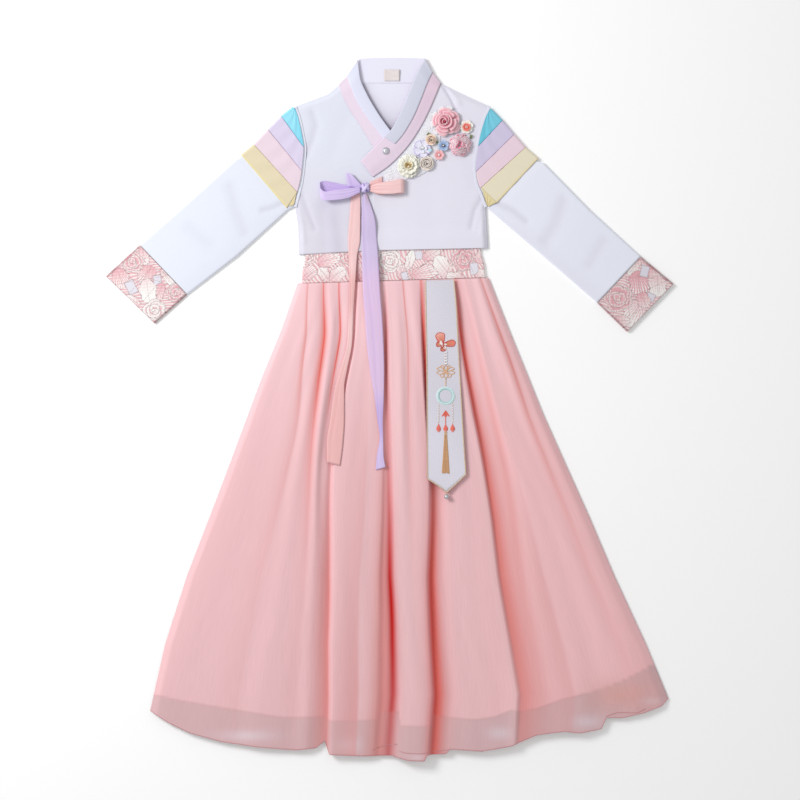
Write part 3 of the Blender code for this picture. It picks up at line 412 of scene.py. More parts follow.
def cloth_material(name, rough=0.85, sheen=0.1, pitch=0.8, relief=0.3, mottle=0.03,
                   streak=(90.0, 900.0), gloss=0.2, metal=0.0):
    """A painted cloth: woven threads in relief, and slubs that run along them."""
    material = bpy.data.materials.new(name)
    material.use_nodes = True
    nodes, links = material.node_tree.nodes, material.node_tree.links
    shader = nodes["Principled BSDF"]
    shader.inputs["Roughness"].default_value = rough
    shader.inputs["Sheen Weight"].default_value = sheen
    shader.inputs["Specular IOR Level"].default_value = gloss
    shader.inputs["Metallic"].default_value = metal
    uv = nodes.new("ShaderNodeUVMap")
    uv.uv_map = "cloth"
    threads = []
    for direction in ("X", "Y"):
        wave = nodes.new("ShaderNodeTexWave")
        wave.bands_direction = direction
        wave.inputs["Scale"].default_value = math.pi / 10.0 / (pitch * MM)
        wave.inputs["Distortion"].default_value = 0.6
        links.new(uv.outputs["UV"], wave.inputs["Vector"])
        threads.append(wave)
    weave = nodes.new("ShaderNodeMath")
    weave.operation = "MAXIMUM"
    links.new(threads[0].outputs["Fac"], weave.inputs[0])
    links.new(threads[1].outputs["Fac"], weave.inputs[1])
    stretch = nodes.new("ShaderNodeMapping")
    stretch.inputs["Scale"].default_value = (streak[0], streak[1], 1.0)
    links.new(uv.outputs["UV"], stretch.inputs["Vector"])
    slub = nodes.new("ShaderNodeTexNoise")
    slub.inputs["Scale"].default_value = 1.0
    slub.inputs["Detail"].default_value = 3.0
    links.new(stretch.outputs["Vector"], slub.inputs["Vector"])
    height = nodes.new("ShaderNodeMath")
    height.operation = "ADD"
    links.new(weave.outputs["Value"], height.inputs[0])
    links.new(slub.outputs["Fac"], height.inputs[1])
    bump = nodes.new("ShaderNodeBump")
    bump.inputs["Strength"].default_value = relief
    bump.inputs["Distance"].default_value = 0.15 * MM
    links.new(height.outputs["Value"], bump.inputs["Height"])
    links.new(bump.outputs["Normal"], shader.inputs["Normal"])
    tone = nodes.new("ShaderNodeMapRange")
    tone.inputs["From Min"].default_value = 0.3
    tone.inputs["From Max"].default_value = 0.7
    tone.inputs["To Min"].default_value = 1.0 - mottle
    tone.inputs["To Max"].default_value = 1.0 + mottle
    links.new(slub.outputs["Fac"], tone.inputs["Value"])
    paint = nodes.new("ShaderNodeAttribute")
    paint.attribute_name = "paint"
    mix = nodes.new("ShaderNodeMix")
    mix.data_type = "RGBA"
    mix.blend_type = "MULTIPLY"
    mix.inputs["Factor"].default_value = 1.0
    links.new(paint.outputs["Color"], mix.inputs["A"])
    links.new(tone.outputs["Result"], mix.inputs["B"])
    links.new(mix.outputs["Result"], shader.inputs["Base Color"])
    MATERIALS[name] = material


def make_materials():
    cloth_material("jacket_weave", rough=0.9, mottle=0.012, relief=0.25)
    cloth_material("collar_weave", rough=0.85, mottle=0.015, relief=0.2, streak=(700.0, 120.0))
    cloth_material("organza", rough=0.7, mottle=0.02, relief=0.2, sheen=0.2, streak=(900.0, 60.0))
    cloth_material("brocade_weave", rough=0.5, mottle=0.05, relief=0.6, pitch=0.6, gloss=0.4,
                   streak=(1400.0, 500.0))
    cloth_material("chiffon", rough=0.8, sheen=0.05, gloss=0.05, mottle=0.03, relief=0.25,
                   pitch=0.7, streak=(700.0, 24.0))
    cloth_material("ribbon_satin", rough=0.55, sheen=0.3, mottle=0.03, relief=0.2, pitch=0.5,
                   gloss=0.35, streak=(900.0, 40.0))
    cloth_material("belt_satin", rough=0.5, mottle=0.03, relief=0.5, gloss=0.4,
                   streak=(260.0, 700.0))
    cloth_material("petal_cloth", rough=0.75, sheen=0.2, mottle=0.04, relief=0.3, pitch=0.5)
    cloth_material("thread", rough=0.45, mottle=0.12, relief=0.8, pitch=0.5, gloss=0.5,
                   streak=(2500.0, 300.0))
    cloth_material("lace_thread", rough=0.8, mottle=0.04, relief=0.6, pitch=0.6)
    cloth_material("gold_thread", rough=0.4, mottle=0.15, relief=0.8, pitch=0.6, gloss=0.6,
                   metal=0.35, streak=(200.0, 2500.0))
    cloth_material("label_tape", rough=0.8, mottle=0.05, relief=0.5, pitch=0.6)
    cloth_material("silver_metal", rough=0.35, mottle=0.1, relief=0.2, metal=0.55, gloss=0.5,
                   sheen=0.0)
    cloth_material("pearl", rough=0.15, mottle=0.04, relief=0.02, gloss=0.7, sheen=0.0)


# Jacket

WHITE = tint(230, 228, 240)
WHITE_LEFT = tint(224, 227, 239)
WHITE_LEFT_LOW = tint(222, 219, 231)
SHADE_WHITE = tint(200, 192, 212)
SOFT_SHADE = ((-92.3, 300.0), (-83.0, 235.0))
NECK_POINT = (0.0, 414.0)
NECK_SHADE = ((-47.0, 500.0), (-33.8, 470.3), (-14.3, 437.3), NECK_POINT)
# Bands along the armholes: column of the outline, shift, height
ARMHOLE_BANDS = ((1, -0.2, 4.2), (2, 0.2, 5.5))
# Painted light: both sleeves are one white cloth, painted lighter on the right-hand sleeve.
SLEEVE_WHITE = {"left": tint(227, 231, 243), "right": tint(235, 237, 249)}

LEFT_CREASES = (
    (((-116.0, 443.0), (-110.3, 423.8), (-116.3, 401.3), (-125.3, 380.0)), -0.9, 7.0),
    (((-131.0, 318.0), (-123.0, 296.0), (-112.0, 268.0)), -1.0, 4.0),
    (((-138.0, 296.0), (-131.0, 274.0), (-129.0, 250.0)), 0.9, 4.0),
    (((-89.3, 288.8), (-81.8, 236.3)), 0.9, 9.0),
    (((-98.0, 300.0), (-96.0, 240.0)), -0.8, 10.0),
    (((-40.0, 470.0), (-70.0, 420.0), (-84.0, 380.0)), -0.5, 12.0),
)
RIGHT_CREASES = (
    (((80.3, 483.8), (93.8, 461.3), (101.0, 444.0)), -2.0, 3.0),
    (((88.0, 482.0), (104.0, 458.0)), 1.0, 4.0),
    (((139.0, 316.0), (128.0, 296.0), (122.0, 270.0)), -1.0, 4.0),
    (((143.0, 290.0), (138.0, 262.0)), 0.7, 4.0),
    (((132.0, 420.0), (120.0, 372.0), (126.0, 330.0)), -0.5, 9.0),
    (((60.0, 330.0), (66.0, 262.0)), -0.4, 16.0),
)


def outline(y, column):
    """An edge of the jacket: straight at the sides and shoulders, a smooth curve at the armhole."""
    armhole = [row for row in BODY if UNDERARM <= row[0] <= SHOULDER_TIP]
    smooth = monotone([row[0] for row in armhole], [row[column] for row in armhole], y)
    inside = (y >= UNDERARM) & (y <= SHOULDER_TIP)
    return np.where(inside, smooth, read(BODY, y, column))


def armhole_left(y):
    return outline(y, 1) - SEAM


def armhole_right(y):
    return outline(y, 2) + SEAM


def front_rise(x, y):
    """How far a front has risen from the folds at the sides and shoulders, 0 to 1."""
    nearest = np.full(np.shape(x), FAR)
    for column, inner in ((1, UNDER_EDGE[-1]), (2, OVER_EDGE[-1])):
        edge = [(row[column], row[0]) for row in BODY]
        side = [point for point in edge if point[1] <= UNDERARM]
        shoulder = [point for point in edge if point[1] >= SHOULDER_TIP] + [inner[::-1]]
        nearest = np.minimum(nearest, line_distance(x, y, side))
        nearest = np.minimum(nearest, line_distance(x, y, shoulder))
    return ramp(nearest / EDGE_ROUNDING)


def under_height(x, y):
    """Lower face of the under front, which rises over the waistband near the hem."""
    full = UNDER_FRONT_HEIGHT - EDGE_HEIGHT + HEM_LIFT * ramp((HEM_LIFT_TOP - y) / HEM_LIFT_LENGTH)
    return EDGE_HEIGHT + front_rise(x, y) * full


def over_height(x, y):
    return under_height(x, y) + LAYER * front_rise(x, y)


def jacket_panel(name, left, right, height, paint, columns=90):
    """A jacket panel between two edges, each a function of the height up the jacket."""
    hem, second = BODY[0][0], BODY[1][0]
    rows = np.concatenate((np.linspace(hem, second, 9)[:-1],
                           np.linspace(second, BODY[-1][0], 90)))[:, None]
    x = lerp(left(rows), right(rows), np.linspace(0.0, 1.0, columns)[None, :])
    near_hem = np.clip((second - rows) / (second - hem), 0.0, 1.0)
    y = np.where(near_hem > 0.0, lerp(second, read(HEM_LINE, x), near_hem), rows)
    z = height(x, y)
    return surface(name, stacked(x, y, z), "jacket_weave", paint(x, y))


def front_paint(x, y):
    """White cloth, cooler at the chest, with painted shade in the left soft fold, at the sides and in
    creases.
    """
    side = np.minimum(x - outline(y, 1), outline(y, 2) - x)
    low = ramp((400.0 - y) / 120.0)[..., None]
    left = lerp(WHITE_LEFT, WHITE_LEFT_LOW, low)
    colour = lerp(left, WHITE, ramp((x + 30.0) / 30.0)[..., None])
    soft = line_distance(x, y, SOFT_SHADE) / 15.0
    # Painted shade: darker near the side edges, in the soft fold of the left-hand front and in the deeper
    # creases.
    shade = 0.12 * np.exp(-np.maximum(side, 0.0) / 5.0) + 0.40 * np.exp(-soft * soft)
    for line, height, width in LEFT_CREASES + RIGHT_CREASES:
        near = line_distance(x, y, line) / (0.7 * width)
        shade = shade + 0.28 * (height < -0.8) * np.exp(-near * near)
    return lerp(colour, SHADE_WHITE, np.clip(shade, 0.0, 1.0)[..., None])


def build_jacket():
    def left(y):
        return outline(y, 1)

    def right(y):
        return outline(y, 2)

    def inside_with_painted_shadow(x, y):
        # Painted shadow under the collar: darker round the crossing of the fronts and along the left-hand
        # neck edge.
        near_crossing = np.exp(-np.hypot(x, y - NECK_POINT[1]) / 16.0)
        along_edge = np.exp(-line_distance(x, y, NECK_SHADE) / 5.0)
        shade = np.clip(0.8 * near_crossing + 0.75 * along_edge, 0.0, 1.0)
        return lerp(tint(234, 233, 247), tint(160, 152, 168), shade[..., None])

    back = jacket_panel("back_panel", left, right, lambda x, y: np.zeros(x.shape), inside_with_painted_shadow)
    dress(back, "white_cloth", "jacket_back")

    def under(x, y):
        return under_height(x, y) + front_rise(x, y) * creased(x, y, LEFT_CREASES)

    def over(x, y):
        away = ramp(line_distance(x, y, ORNAMENT_LINE) / 14.0 - 1.0)
        return over_height(x, y) + front_rise(x, y) * creased(x, y, RIGHT_CREASES) * away

    under_front = jacket_panel("under_front_panel", left, lambda y: read(UNDER_EDGE, y), under,
                               front_paint)
    dress(under_front, "white_cloth", "jacket_front_under")
    over_front = jacket_panel("over_front_panel", lambda y: read(OVER_EDGE, y), right, over,
                              front_paint)
    dress(over_front, "white_cloth", "jacket_front_over")

    rows = along_rows(COLLAR_BACK, np.linspace(0.0, len(COLLAR_BACK) - 1, 26))
    share = np.linspace(0.0, 1.0, 50)
    x = lerp(rows[:, 1:2], rows[:, 2:3], share)
    top = np.linspace(0.0, 1.0, 26)[:, None] ** 2
    y = rows[:, 0:1] + 1.4 * np.sin(math.pi * share) * top
    facing = surface("neck_back", stacked(x, y, 0.0), "jacket_weave", tint(233, 232, 247))
    dress(facing, "white_cloth", "collar_back")

    seam = Pile()
    across = np.linspace(-68.0, 72.0, 60)
    seam.add(tube_points(stacked(across, 487.2, 0.7), 0.9, 8, 0.5), tint(228, 226, 240), wrap=True)
    height = np.linspace(UNDERARM + 1.0, SHOULDER_TIP - 1.0, 70)
    for column, shift, level in ARMHOLE_BANDS:
        seam.add(tube_points(stacked(outline(height, column) + shift, height, level), 2.2, 14, 0.12),
                 tint(227, 228, 241), wrap=True)
    seam.build("jacket_seams", "jacket_weave")

    (x0, y0), (x1, y1) = LABEL
    across, up = np.meshgrid(np.linspace(0.0, 1.0, 16), np.linspace(0.0, 1.0, 14))
    lift = 0.9 * up * up + 0.5 * (2.0 * across - 1.0) ** 2
    tape = surface("label_tape_piece", stacked(lerp(x0, x1, across), lerp(y0, y1, up),
                                               LAYER + lift),
                   "label_tape", lerp(tint(231, 222, 221), tint(224, 214, 210),
                                      np.abs(2.0 * across - 1.0)[..., None] ** 6), wall=0.5)
    dress(tape, "label_cloth", "neck_label")


# Collar

# Pink of each band at the shoulder and at its lower end
COLLAR_PINKS = {
    "under": (tint(232, 216, 231), tint(234, 219, 235)),
    "over": (tint(227, 202, 219), tint(230, 212, 229)),
}


def collar_band(rows, shares, count=70, last=None):
    """Plan points of a collar band: share 0 outer edge, 1 strip edge, 2 inner edge."""
    last = len(rows) - 1 if last is None else last
    params = np.linspace(0.0, last, count)
    edges = along_rows(rows, params).reshape(count, 3, 2)
    columns = []
    for share in shares:
        j = min(int(share), 1)
        columns.append(lerp(edges[:, j], edges[:, j + 1], share - j))
    return np.stack(columns, axis=1), params[:, None]


def under_collar_height(row):
    return lerp(EDGE_HEIGHT, UNDER_FRONT_HEIGHT, ramp(row)) + LAYER


def over_collar_height(share, row):
    """The over band tilts up towards its inner edge, to pass over the under band."""
    level = lerp(EDGE_HEIGHT, UNDER_FRONT_HEIGHT + LAYER, ramp(row)) + LAYER
    return level + CROSSING_LIFT * ramp(share) * ramp(row - 1.0)


def build_collar():
    shares = np.linspace(0.0, 2.0, 21)
    strip_shares = np.linspace(1.0, 2.0, 12)
    for side, rows, sizes, white in (
            ("under", COLLAR_UNDER, ((0.030, 0.150), (0.016, 0.138)), tint(224, 226, 244)),
            ("over", COLLAR_OVER, ((0.031, 0.185), (0.018, 0.130)), tint(210, 212, 228))):
        def height(share, row, side=side):
            return under_collar_height(row) if side == "under" else over_collar_height(share, row)
        plan, row = collar_band(rows, shares)
        z = height(shares[None, :], row) + 0.25 * np.sin(math.pi * shares / 2.0)
        edge = np.minimum(shares, 1.0)[None, :]
        top, end = COLLAR_PINKS[side]
        pink = lerp(top, end, ramp(row / 5.0)[..., None])
        # Painted shade: the pink is darker along the outer edge, where the band turns under.
        paint = lerp(pink * 0.9, pink, ramp(edge * 6.0)[..., None])
        band = surface(f"band_{side}", np.dstack((plan, z)), "collar_weave", paint, wall=0.9)
        dress(band, "collar_pink", f"collar_{side}")
        plan, row = collar_band(rows, strip_shares, last=WHITE_STRIP_ROWS - 1)
        z = height(strip_shares[None, :], row) + LAYER - 0.3
        z = z + 0.3 * np.sin(math.pi * (strip_shares - 1.0))
        strip = surface(f"strip_{side}", np.dstack((plan, z)), "jacket_weave", white, wall=0.9)
        dress(strip, "collar_white", f"collar_strip_{side}")

    snap_height = float(over_collar_height(1.0, 5.5)) + 1.15
    snap = Pile()
    angle = np.linspace(0.0, 2.0 * math.pi, 49)[:-1]
    profile = ((0.2, 2.2), (1.2, 2.3), (2.2, 2.0), (3.0, 1.6), (3.6, 1.0), (4.2, 1.3), (4.9, 1.2),
               (5.4, 0.7), (5.5, 0.1))
    ring = []
    for radius, level in profile:
        petals = 0.25 * np.cos(8.0 * angle) * (radius < 3.3)
        ring.append(stacked(SNAP[0] + radius * np.cos(angle), SNAP[1] + radius * np.sin(angle),
                            snap_height + level + petals))
    metal = np.array([tint(222, 222, 228) if radius < 3.3 else tint(186, 186, 196)
                      for radius, _ in profile])[:, None, :]
    snap.add(ring, metal, wrap=True)
    piece = snap.build("snap_disc", "silver_metal", wall=0.3)
    dress(piece, "silver_bead", "collar_snap")


def tube_points(line, radius, sides=6, flat=1.0):
    """Rings of points round a line, for a thin cord lying in plan."""
    line = np.asarray(line, float)
    ahead = np.gradient(line, axis=0)
    ahead /= np.linalg.norm(ahead, axis=1)[:, None] + 1e-9
    side = np.cross(ahead, (0.0, 0.0, 1.0))
    side /= np.linalg.norm(side, axis=1)[:, None] + 1e-9
    up = np.cross(side, ahead)
    radius = np.broadcast_to(radius, (len(line),))[:, None, None]
    angle = np.linspace(0.0, 2.0 * math.pi, sides + 1)[:-1]
    circle = np.cos(angle)[None, :, None] * side[:, None] + flat * np.sin(angle)[None, :, None] * up[:, None]
    return line[:, None] + radius * circle


# Sleeves, cuffs and stripes

# Level above which a point of a flattened tube lies on its upper face
TOP_FACE = 0.99

SLEEVE_CREASES = (
    (((-139.0, 318.0), (-170.0, 300.0), (-190.0, 296.0)), -1.0, 5.0),
    (((-146.0, 296.0), (-172.0, 282.0)), 0.8, 5.0),
    (((-238.0, 330.0), (-228.0, 292.0), (-216.0, 262.0)), -0.7, 10.0),
    (((-300.0, 270.0), (-270.0, 246.0)), -0.5, 10.0),
    (((150.0, 312.0), (186.0, 296.0), (206.0, 280.0)), -1.0, 5.0),
    (((156.0, 296.0), (182.0, 276.0)), 0.8, 5.0),
    (((262.0, 312.0), (250.0, 276.0), (232.0, 248.0)), -0.7, 10.0),
    (((322.0, 250.0), (300.0, 214.0)), -0.5, 9.0),
)


def ring(flat, turn, open_side=False):
    """Points round a flattened tube: share of its width, lean sideways, level up or down."""
    angles = math.pi * np.arange(1, turn) / turn
    points = [(1.0 - share, 0.0, 1.0) for share in np.linspace(0.0, 1.0, flat + 1)]
    points += [(0.0, -math.sin(angle), math.cos(angle)) for angle in angles]
    points += [(share, 0.0, -1.0) for share in np.linspace(0.0, 1.0, flat // 6 + 1)]
    if not open_side:
        points += [(1.0, math.sin(angle), -math.cos(angle)) for angle in angles]
    return np.array(points)


def tube_section(upper, lower, bottom, thickness, points, armhole=None):
    """One section of a flattened tube from its upper edge to its lower edge in plan."""
    width = math.dist(upper, lower)
    radius = thickness / 2.0
    distance = radius + points[:, 0] * (width - 2.0 * radius) + points[:, 1] * radius
    x, y = between(upper, lower, distance / width)
    if armhole:
        x = armhole(y)
    return stacked(x, y, bottom + radius + points[:, 2] * radius)


def loft(sections, counts):
    """Rows between sections, on straight lines, with a count of rows for each stretch."""
    rows = []
    for first, second, count in zip(sections, sections[1:], counts):
        rows += [lerp(first, second, share) for share in np.arange(count) / count]
    return np.array(rows + [sections[-1]])


def build_sleeve(side, stations, cuff, stripes, armhole):
    points = ring(56, 6)
    sections = [tube_section(*station, points, armhole if i == len(stations) - 1 else None)
                for i, station in enumerate(stations)]
    body = loft(sections, (36, 40, 4, 24))
    on_top = (points[:, 2] > TOP_FACE)[None, :]
    crown = 0.5 * np.sin(math.pi * points[:, 0])[None, :]
    relief = ramp(crown * 4.0) * creased(body[..., 0], body[..., 1], SLEEVE_CREASES)
    body[..., 2] += on_top * (crown + relief)
    shade = on_top * np.clip(0.10 * ramp((points[:, 0] - 0.72) / 0.28)[None, :] - 0.3 * relief,
                             0.0, 1.0)
    paint = lerp(SLEEVE_WHITE[side], SHADE_WHITE, shade[..., None])
    sleeve = surface(f"sleeve_tube_{side}", body, "jacket_weave", paint, outer=True, wrap=True)
    dress(sleeve, "white_cloth", f"sleeve_{side}")

    points = ring(150, 6)
    sections = [tube_section(*edges, 0.0, thick, points)
                for edges, thick in zip(cuff, CUFF_THICKNESS)]
    body = loft(sections, (96,))
    down, across = np.meshgrid(np.linspace(0.0, 1.0, 97), points[:, 0], indexing="ij")
    width, length = math.dist(*cuff[0]), math.dist(cuff[0][0], cuff[1][0])
    paint = brocade(across * width, down * length, CUFF_MOTIFS[side])
    border = np.minimum(np.minimum(across, 1.0 - across) * width,
                        np.minimum(down, 1.0 - down) * length)
    paint = lerp(paint, BROCADE_LINE, 0.6 * np.exp(-(border / 0.9) ** 2)[..., None])
    piece = surface(f"cuff_band_{side}", body, "brocade_weave", paint * CUFF_LIGHT[side],
                    outer=True, wrap=True)
    dress(piece, "brocade", f"cuff_{side}")

    points = ring(60, 6, open_side=True)
    rows = np.linspace(0.006, 0.994, 26)
    for name, first, second in zip(STRIPE_NAMES, stripes, stripes[1:]):
        ends = [stripe[1] if isinstance(stripe[1], tuple) else (armhole(stripe[1]), stripe[1])
                for stripe in (first, second)]
        body = []
        for share in rows:
            upper = between(first[0], second[0], share)
            lower = between(*ends, share)
            if not isinstance(second[1], tuple):
                lower = float(armhole(lower[1])), lower[1]
            body.append(tube_section(upper, lower, 0.0, STRIPE_TOP, points))
        body = np.array(body)
        along, depth = np.meshgrid(rows, points[:, 0], indexing="ij")
        light, deep = STRIPE_TINTS[side][name]
        edge = np.exp(-np.minimum(along, 1.0 - along) / 0.035)
        if name == "yellow":
            edge = edge + 0.9 * ramp((along - 0.86) / 0.04)
        amount = np.clip(0.10 + 0.4 * edge + 0.30 * ramp(depth * 1.4 - 0.4) * (name == "cyan"),
                         0.0, 1.0)
        paint = lerp(light, deep, amount[..., None])
        body[..., 2] += (points[:, 2] > TOP_FACE) * 0.3 * np.sin(math.pi * depth) * np.cos(
            depth * 19.0 + along * 3.0)
        stripe = surface(f"stripe_sheer_{name}_{side}", body, "organza", paint, outer=True)
        dress(stripe, f"stripe_{name}", f"stripe_{name}_{side}")


STRIPE_TINTS = {
    "left": {
        "cyan": (tint(158, 226, 246), tint(84, 196, 222)),
        "lilac": (tint(219, 211, 233), tint(202, 184, 226)),
        "pink": (tint(229, 213, 224), tint(240, 196, 212)),
        "yellow": (tint(222, 211, 184), tint(238, 220, 152)),
    },
    "right": {
        "cyan": (tint(125, 205, 226), tint(72, 184, 208)),
        "lilac": (tint(210, 201, 227), tint(198, 181, 222)),
        "pink": (tint(234, 213, 224), tint(238, 194, 208)),
        "yellow": (tint(232, 224, 202), tint(232, 214, 160)),
    },
}
# Gathered ends of the yellow stripes at the underarm: foot, then both ends of the wide side
GATHERS = (
    ((-143.5, 304.0), (-151.5, 302.0), (-140.0, 321.0)),
    ((147.0, 300.5), (138.0, 330.0), (161.0, 308.0)),
)

# Motifs of the brocade: kind, centre, length, width, turn, how silver it is
CUFF_MOTIFS = {
    "left": (
        ("leaf", (15.0, 7.0), 14.0, 8.0, 0.5, 0.55), ("leaf", (66.0, 4.0), 18.0, 6.0, 0.1, 0.95),
        ("leaf", (40.0, 24.0), 16.0, 13.0, 1.3, 0.30), ("leaf", (16.0, 56.0), 16.0, 13.0, 0.4, 0.35),
        ("rose", (10.0, 25.0), 17.0, 17.0, 0.4, 0.55), ("patch", (57.5, 18.0), 8.0, 6.0, 0.6, 1.0),
        ("patch", (38.0, 54.0), 11.0, 7.0, 0.3, 1.0), ("leaf", (74.0, 30.0), 17.0, 8.0, 1.1, 0.35),
        ("rose", (92.0, 10.0), 16.0, 16.0, 1.9, 0.55), ("leaf", (60.0, 40.0), 19.0, 13.0, 0.6, 1.20),
        ("rose", (90.0, 54.0), 19.0, 19.0, 3.1, 1.10), ("leaf", (56.0, 66.0), 12.0, 6.0, 3.0, 0.80),
    ),
    "right": (
        ("leaf", (17.0, 3.0), 15.0, 7.0, 0.1, 0.85), ("leaf", (2.0, 30.0), 10.0, 12.0, 1.4, 0.30),
        ("leaf", (31.0, 25.0), 19.0, 15.0, 0.9, 0.05), ("leaf", (16.0, 49.0), 16.0, 13.0, 0.8, 0.85),
        ("patch", (11.5, 19.0), 9.0, 6.0, 0.5, 1.0), ("patch", (36.0, 52.0), 7.0, 6.0, 1.9, 1.0),
        ("leaf", (70.0, 52.0), 23.0, 15.0, 0.2, 0.75), ("leaf", (46.0, 48.0), 12.0, 10.0, 1.2, 0.25),
        ("rose", (70.0, 18.0), 23.0, 23.0, 1.4, 0.40), ("leaf", (92.0, 46.0), 12.0, 9.0, 2.4, 0.40),
    ),
}
WAIST_MOTIF_ORIGIN = (-132.0, 186.0)
WAIST_MOTIFS = (
    ("leaf", (10.0, 16.0), 13.0, 10.0, 0.6, 0.35), ("rose", (10.0, 41.0), 13.0, 13.0, 0.2, 0.75),
    ("leaf", (34.0, 14.0), 12.0, 8.0, 2.2, 0.80), ("leaf", (41.0, 36.0), 17.0, 11.0, 0.3, 0.45),
    ("leaf", (54.0, 14.0), 14.0, 10.0, 0.7, 0.70), ("rose", (72.0, 40.0), 14.0, 14.0, 2.1, 0.50),
    ("leaf", (90.0, 16.0), 14.0, 10.0, 2.0, 0.30), ("leaf", (108.0, 42.0), 13.0, 9.0, 0.8, 0.80),
    ("leaf", (118.0, 8.0), 12.0, 7.0, 0.1, 0.50), ("rose", (133.0, 34.0), 18.0, 18.0, 0.9, 1.15),
    ("leaf", (151.0, 16.0), 12.0, 8.0, 1.9, 0.35), ("leaf", (163.0, 36.0), 15.0, 7.0, 1.3, 1.20),
    ("patch", (155.0, 11.0), 6.5, 5.0, 1.9, 1.0), ("patch", (176.0, 43.0), 5.5, 6.5, 0.2, 1.0),
    ("leaf", (186.0, 17.0), 21.0, 11.0, 0.2, 0.55), ("leaf", (195.0, 44.0), 14.0, 9.0, 0.5, 0.50),
    ("leaf", (212.0, 26.0), 18.0, 12.0, 2.2, 0.90), ("rose", (243.0, 36.0), 19.0, 19.0, 2.6, 0.35),
    ("leaf", (232.0, 9.0), 14.0, 8.0, 2.9, 0.70), ("patch", (259.0, 22.0), 6.0, 9.0, 0.1, 1.0),
    ("leaf", (271.0, 42.0), 13.0, 9.0, 1.0, 0.60), ("leaf", (273.0, 12.0), 12.0, 10.0, 0.4, 0.85),
)
CUFF_LIGHT = {"left": 0.93, "right": 0.90}
BROCADE_PINK = tint(236, 176, 184)
BROCADE_SILVER = tint(252, 250, 247)
BROCADE_WHITE = tint(232, 229, 239)
BROCADE_LINE = tint(150, 104, 110)
# Width and strength of the line round a motif, and round a plain patch
MOTIF_LINE = (0.4, 0.80)
PATCH_LINE = (0.6, 0.5)


def woven(colour, fill, edge, line_width, strength):
    """Lays a motif on the weave: its fill, and a thin line where its edge distance is nought."""
    colour = lerp(colour, fill, ramp(edge / 0.8 + 0.5)[..., None])
    line = strength * np.exp(-(edge / line_width) ** 2)
    return lerp(colour, BROCADE_LINE, line[..., None])


def rose_motif(colour, u, v, size, turn, silver):
    """A full rose: off-centre rings of petals, hatched from a pale rim into pink."""
    for layer, reach in enumerate((1.0, 0.80, 0.61, 0.44, 0.28, 0.14)):
        shift = 0.12 * size * (layer > 0)
        pu = u - shift * math.cos(turn + 2.4 * layer)
        pv = v - shift * math.sin(turn + 2.4 * layer)
        radius, angle = np.hypot(pu, pv), np.arctan2(pv, pu)
        petals = 5 - layer // 2
        wave = np.abs(np.sin(petals * (angle + turn + 1.3 * layer) / 2.0 +
                             0.5 * np.sin(2.0 * angle + turn)))
        ribs = np.sin(angle * (50 - 8 * layer) + 0.25 * radius)
        edge = size * reach * (0.78 + 0.20 * wave ** 0.7 + 0.02 * ribs) - radius
        inward = np.clip(edge / (0.20 * size), 0.0, 1.5)
        glint = 0.35 * np.sin(0.9 * u + 1.1 * turn) * np.sin(1.1 * v + layer)
        fill = lerp(BROCADE_PINK, BROCADE_SILVER,
                    ramp(silver + 0.38 + 0.45 * ribs + glint - 0.85 * inward)[..., None])
        colour = woven(colour, fill, edge, *MOTIF_LINE)
    return colour


def leaf_motif(colour, u, v, length, width, turn, silver):
    """A leaf or petal: silver ribs fanned from its foot, and a ragged outline."""
    p = (u * math.cos(turn) + v * math.sin(turn)) / length
    q = (v * math.cos(turn) - u * math.sin(turn)) / width
    fan = np.arctan2(q * width, (p + 1.35) * length)
    ribs = np.sin(fan * 60.0 + 7.0 * turn + 0.6 * np.sin(u / 2.5))
    half = np.clip(1.0 - p * p, 0.0, 1.0) ** 0.42
    half = half * (1.0 + 0.10 * np.sin(7.0 * p + 5.0 * turn) + 0.06 * ribs)
    edge = np.where(np.abs(p) < 1.0, (half - np.abs(q)) * 0.8 * width, (1.0 - np.abs(p)) * length)
    glint = 0.30 * np.sin(1.0 * u + turn) * np.sin(0.8 * v + 2.0 * turn)
    reach = silver - 0.02 + 0.55 * p + 0.6 * ribs + glint
    fill = lerp(BROCADE_PINK, BROCADE_SILVER, ramp(reach)[..., None])
    vein = np.exp(-(q * width / 0.5) ** 2) * (np.abs(p) < 0.8)
    fill = lerp(fill, BROCADE_LINE, 0.35 * vein[..., None])
    return woven(colour, fill, edge, *MOTIF_LINE)


def brocade(u, v, motifs):
    """Woven roses and leaves in pink and silver, with small plain patches between them."""
    ribs = 0.5 + 0.5 * np.sin(1.1 * u + 0.6 * v + 2.0 * np.sin(v / 5.0) + 1.5 * np.sin(u / 7.0))
    colour = lerp(BROCADE_PINK, BROCADE_SILVER, (0.9 * ribs)[..., None])
    for kind, (cu, cv), length, width, turn, silver in motifs:
        if kind == "rose":
            colour = rose_motif(colour, u - cu, v - cv, length, turn, silver)
        elif kind == "leaf":
            colour = leaf_motif(colour, u - cu, v - cv, length, width, turn, silver)
        else:
            pu = (u - cu) * math.cos(turn) + (v - cv) * math.sin(turn)
            pv = (v - cv) * math.cos(turn) - (u - cu) * math.sin(turn)
            edge = np.minimum(1.0 - np.abs(pu) / length, 1.0 - np.abs(pv) / width) * width
            colour = woven(colour, BROCADE_WHITE, edge, *PATCH_LINE)
    return colour


def build_gathers():
    pile = Pile()
    row, share = np.meshgrid(np.linspace(0.0, 1.0, 16), np.linspace(0.0, 1.0, 41), indexing="ij")
    for (fx, fy), first, last in GATHERS:
        wide_x, wide_y = between(first, last, share)
        narrow = 0.12 + 0.88 * row ** 0.8
        x = lerp(fx, wide_x, narrow)
        y = lerp(fy, wide_y, narrow)
        pleat = np.cos(share * 7.0 * math.pi) * (1.0 - row)
        # Painted shade: the yellow is darker in the hollows of the pleats; it is also darker towards the
        # foot.
        colour = lerp(tint(230, 216, 172), tint(216, 196, 138),
                      np.clip(0.5 - 0.5 * pleat - 0.4 * row, 0.0, 1.0)[..., None])
        pile.add(stacked(x, y, 5.7 + 0.35 * pleat), colour, up=True)
    pile.build("stripe_gathers", "organza", wall=0.25)


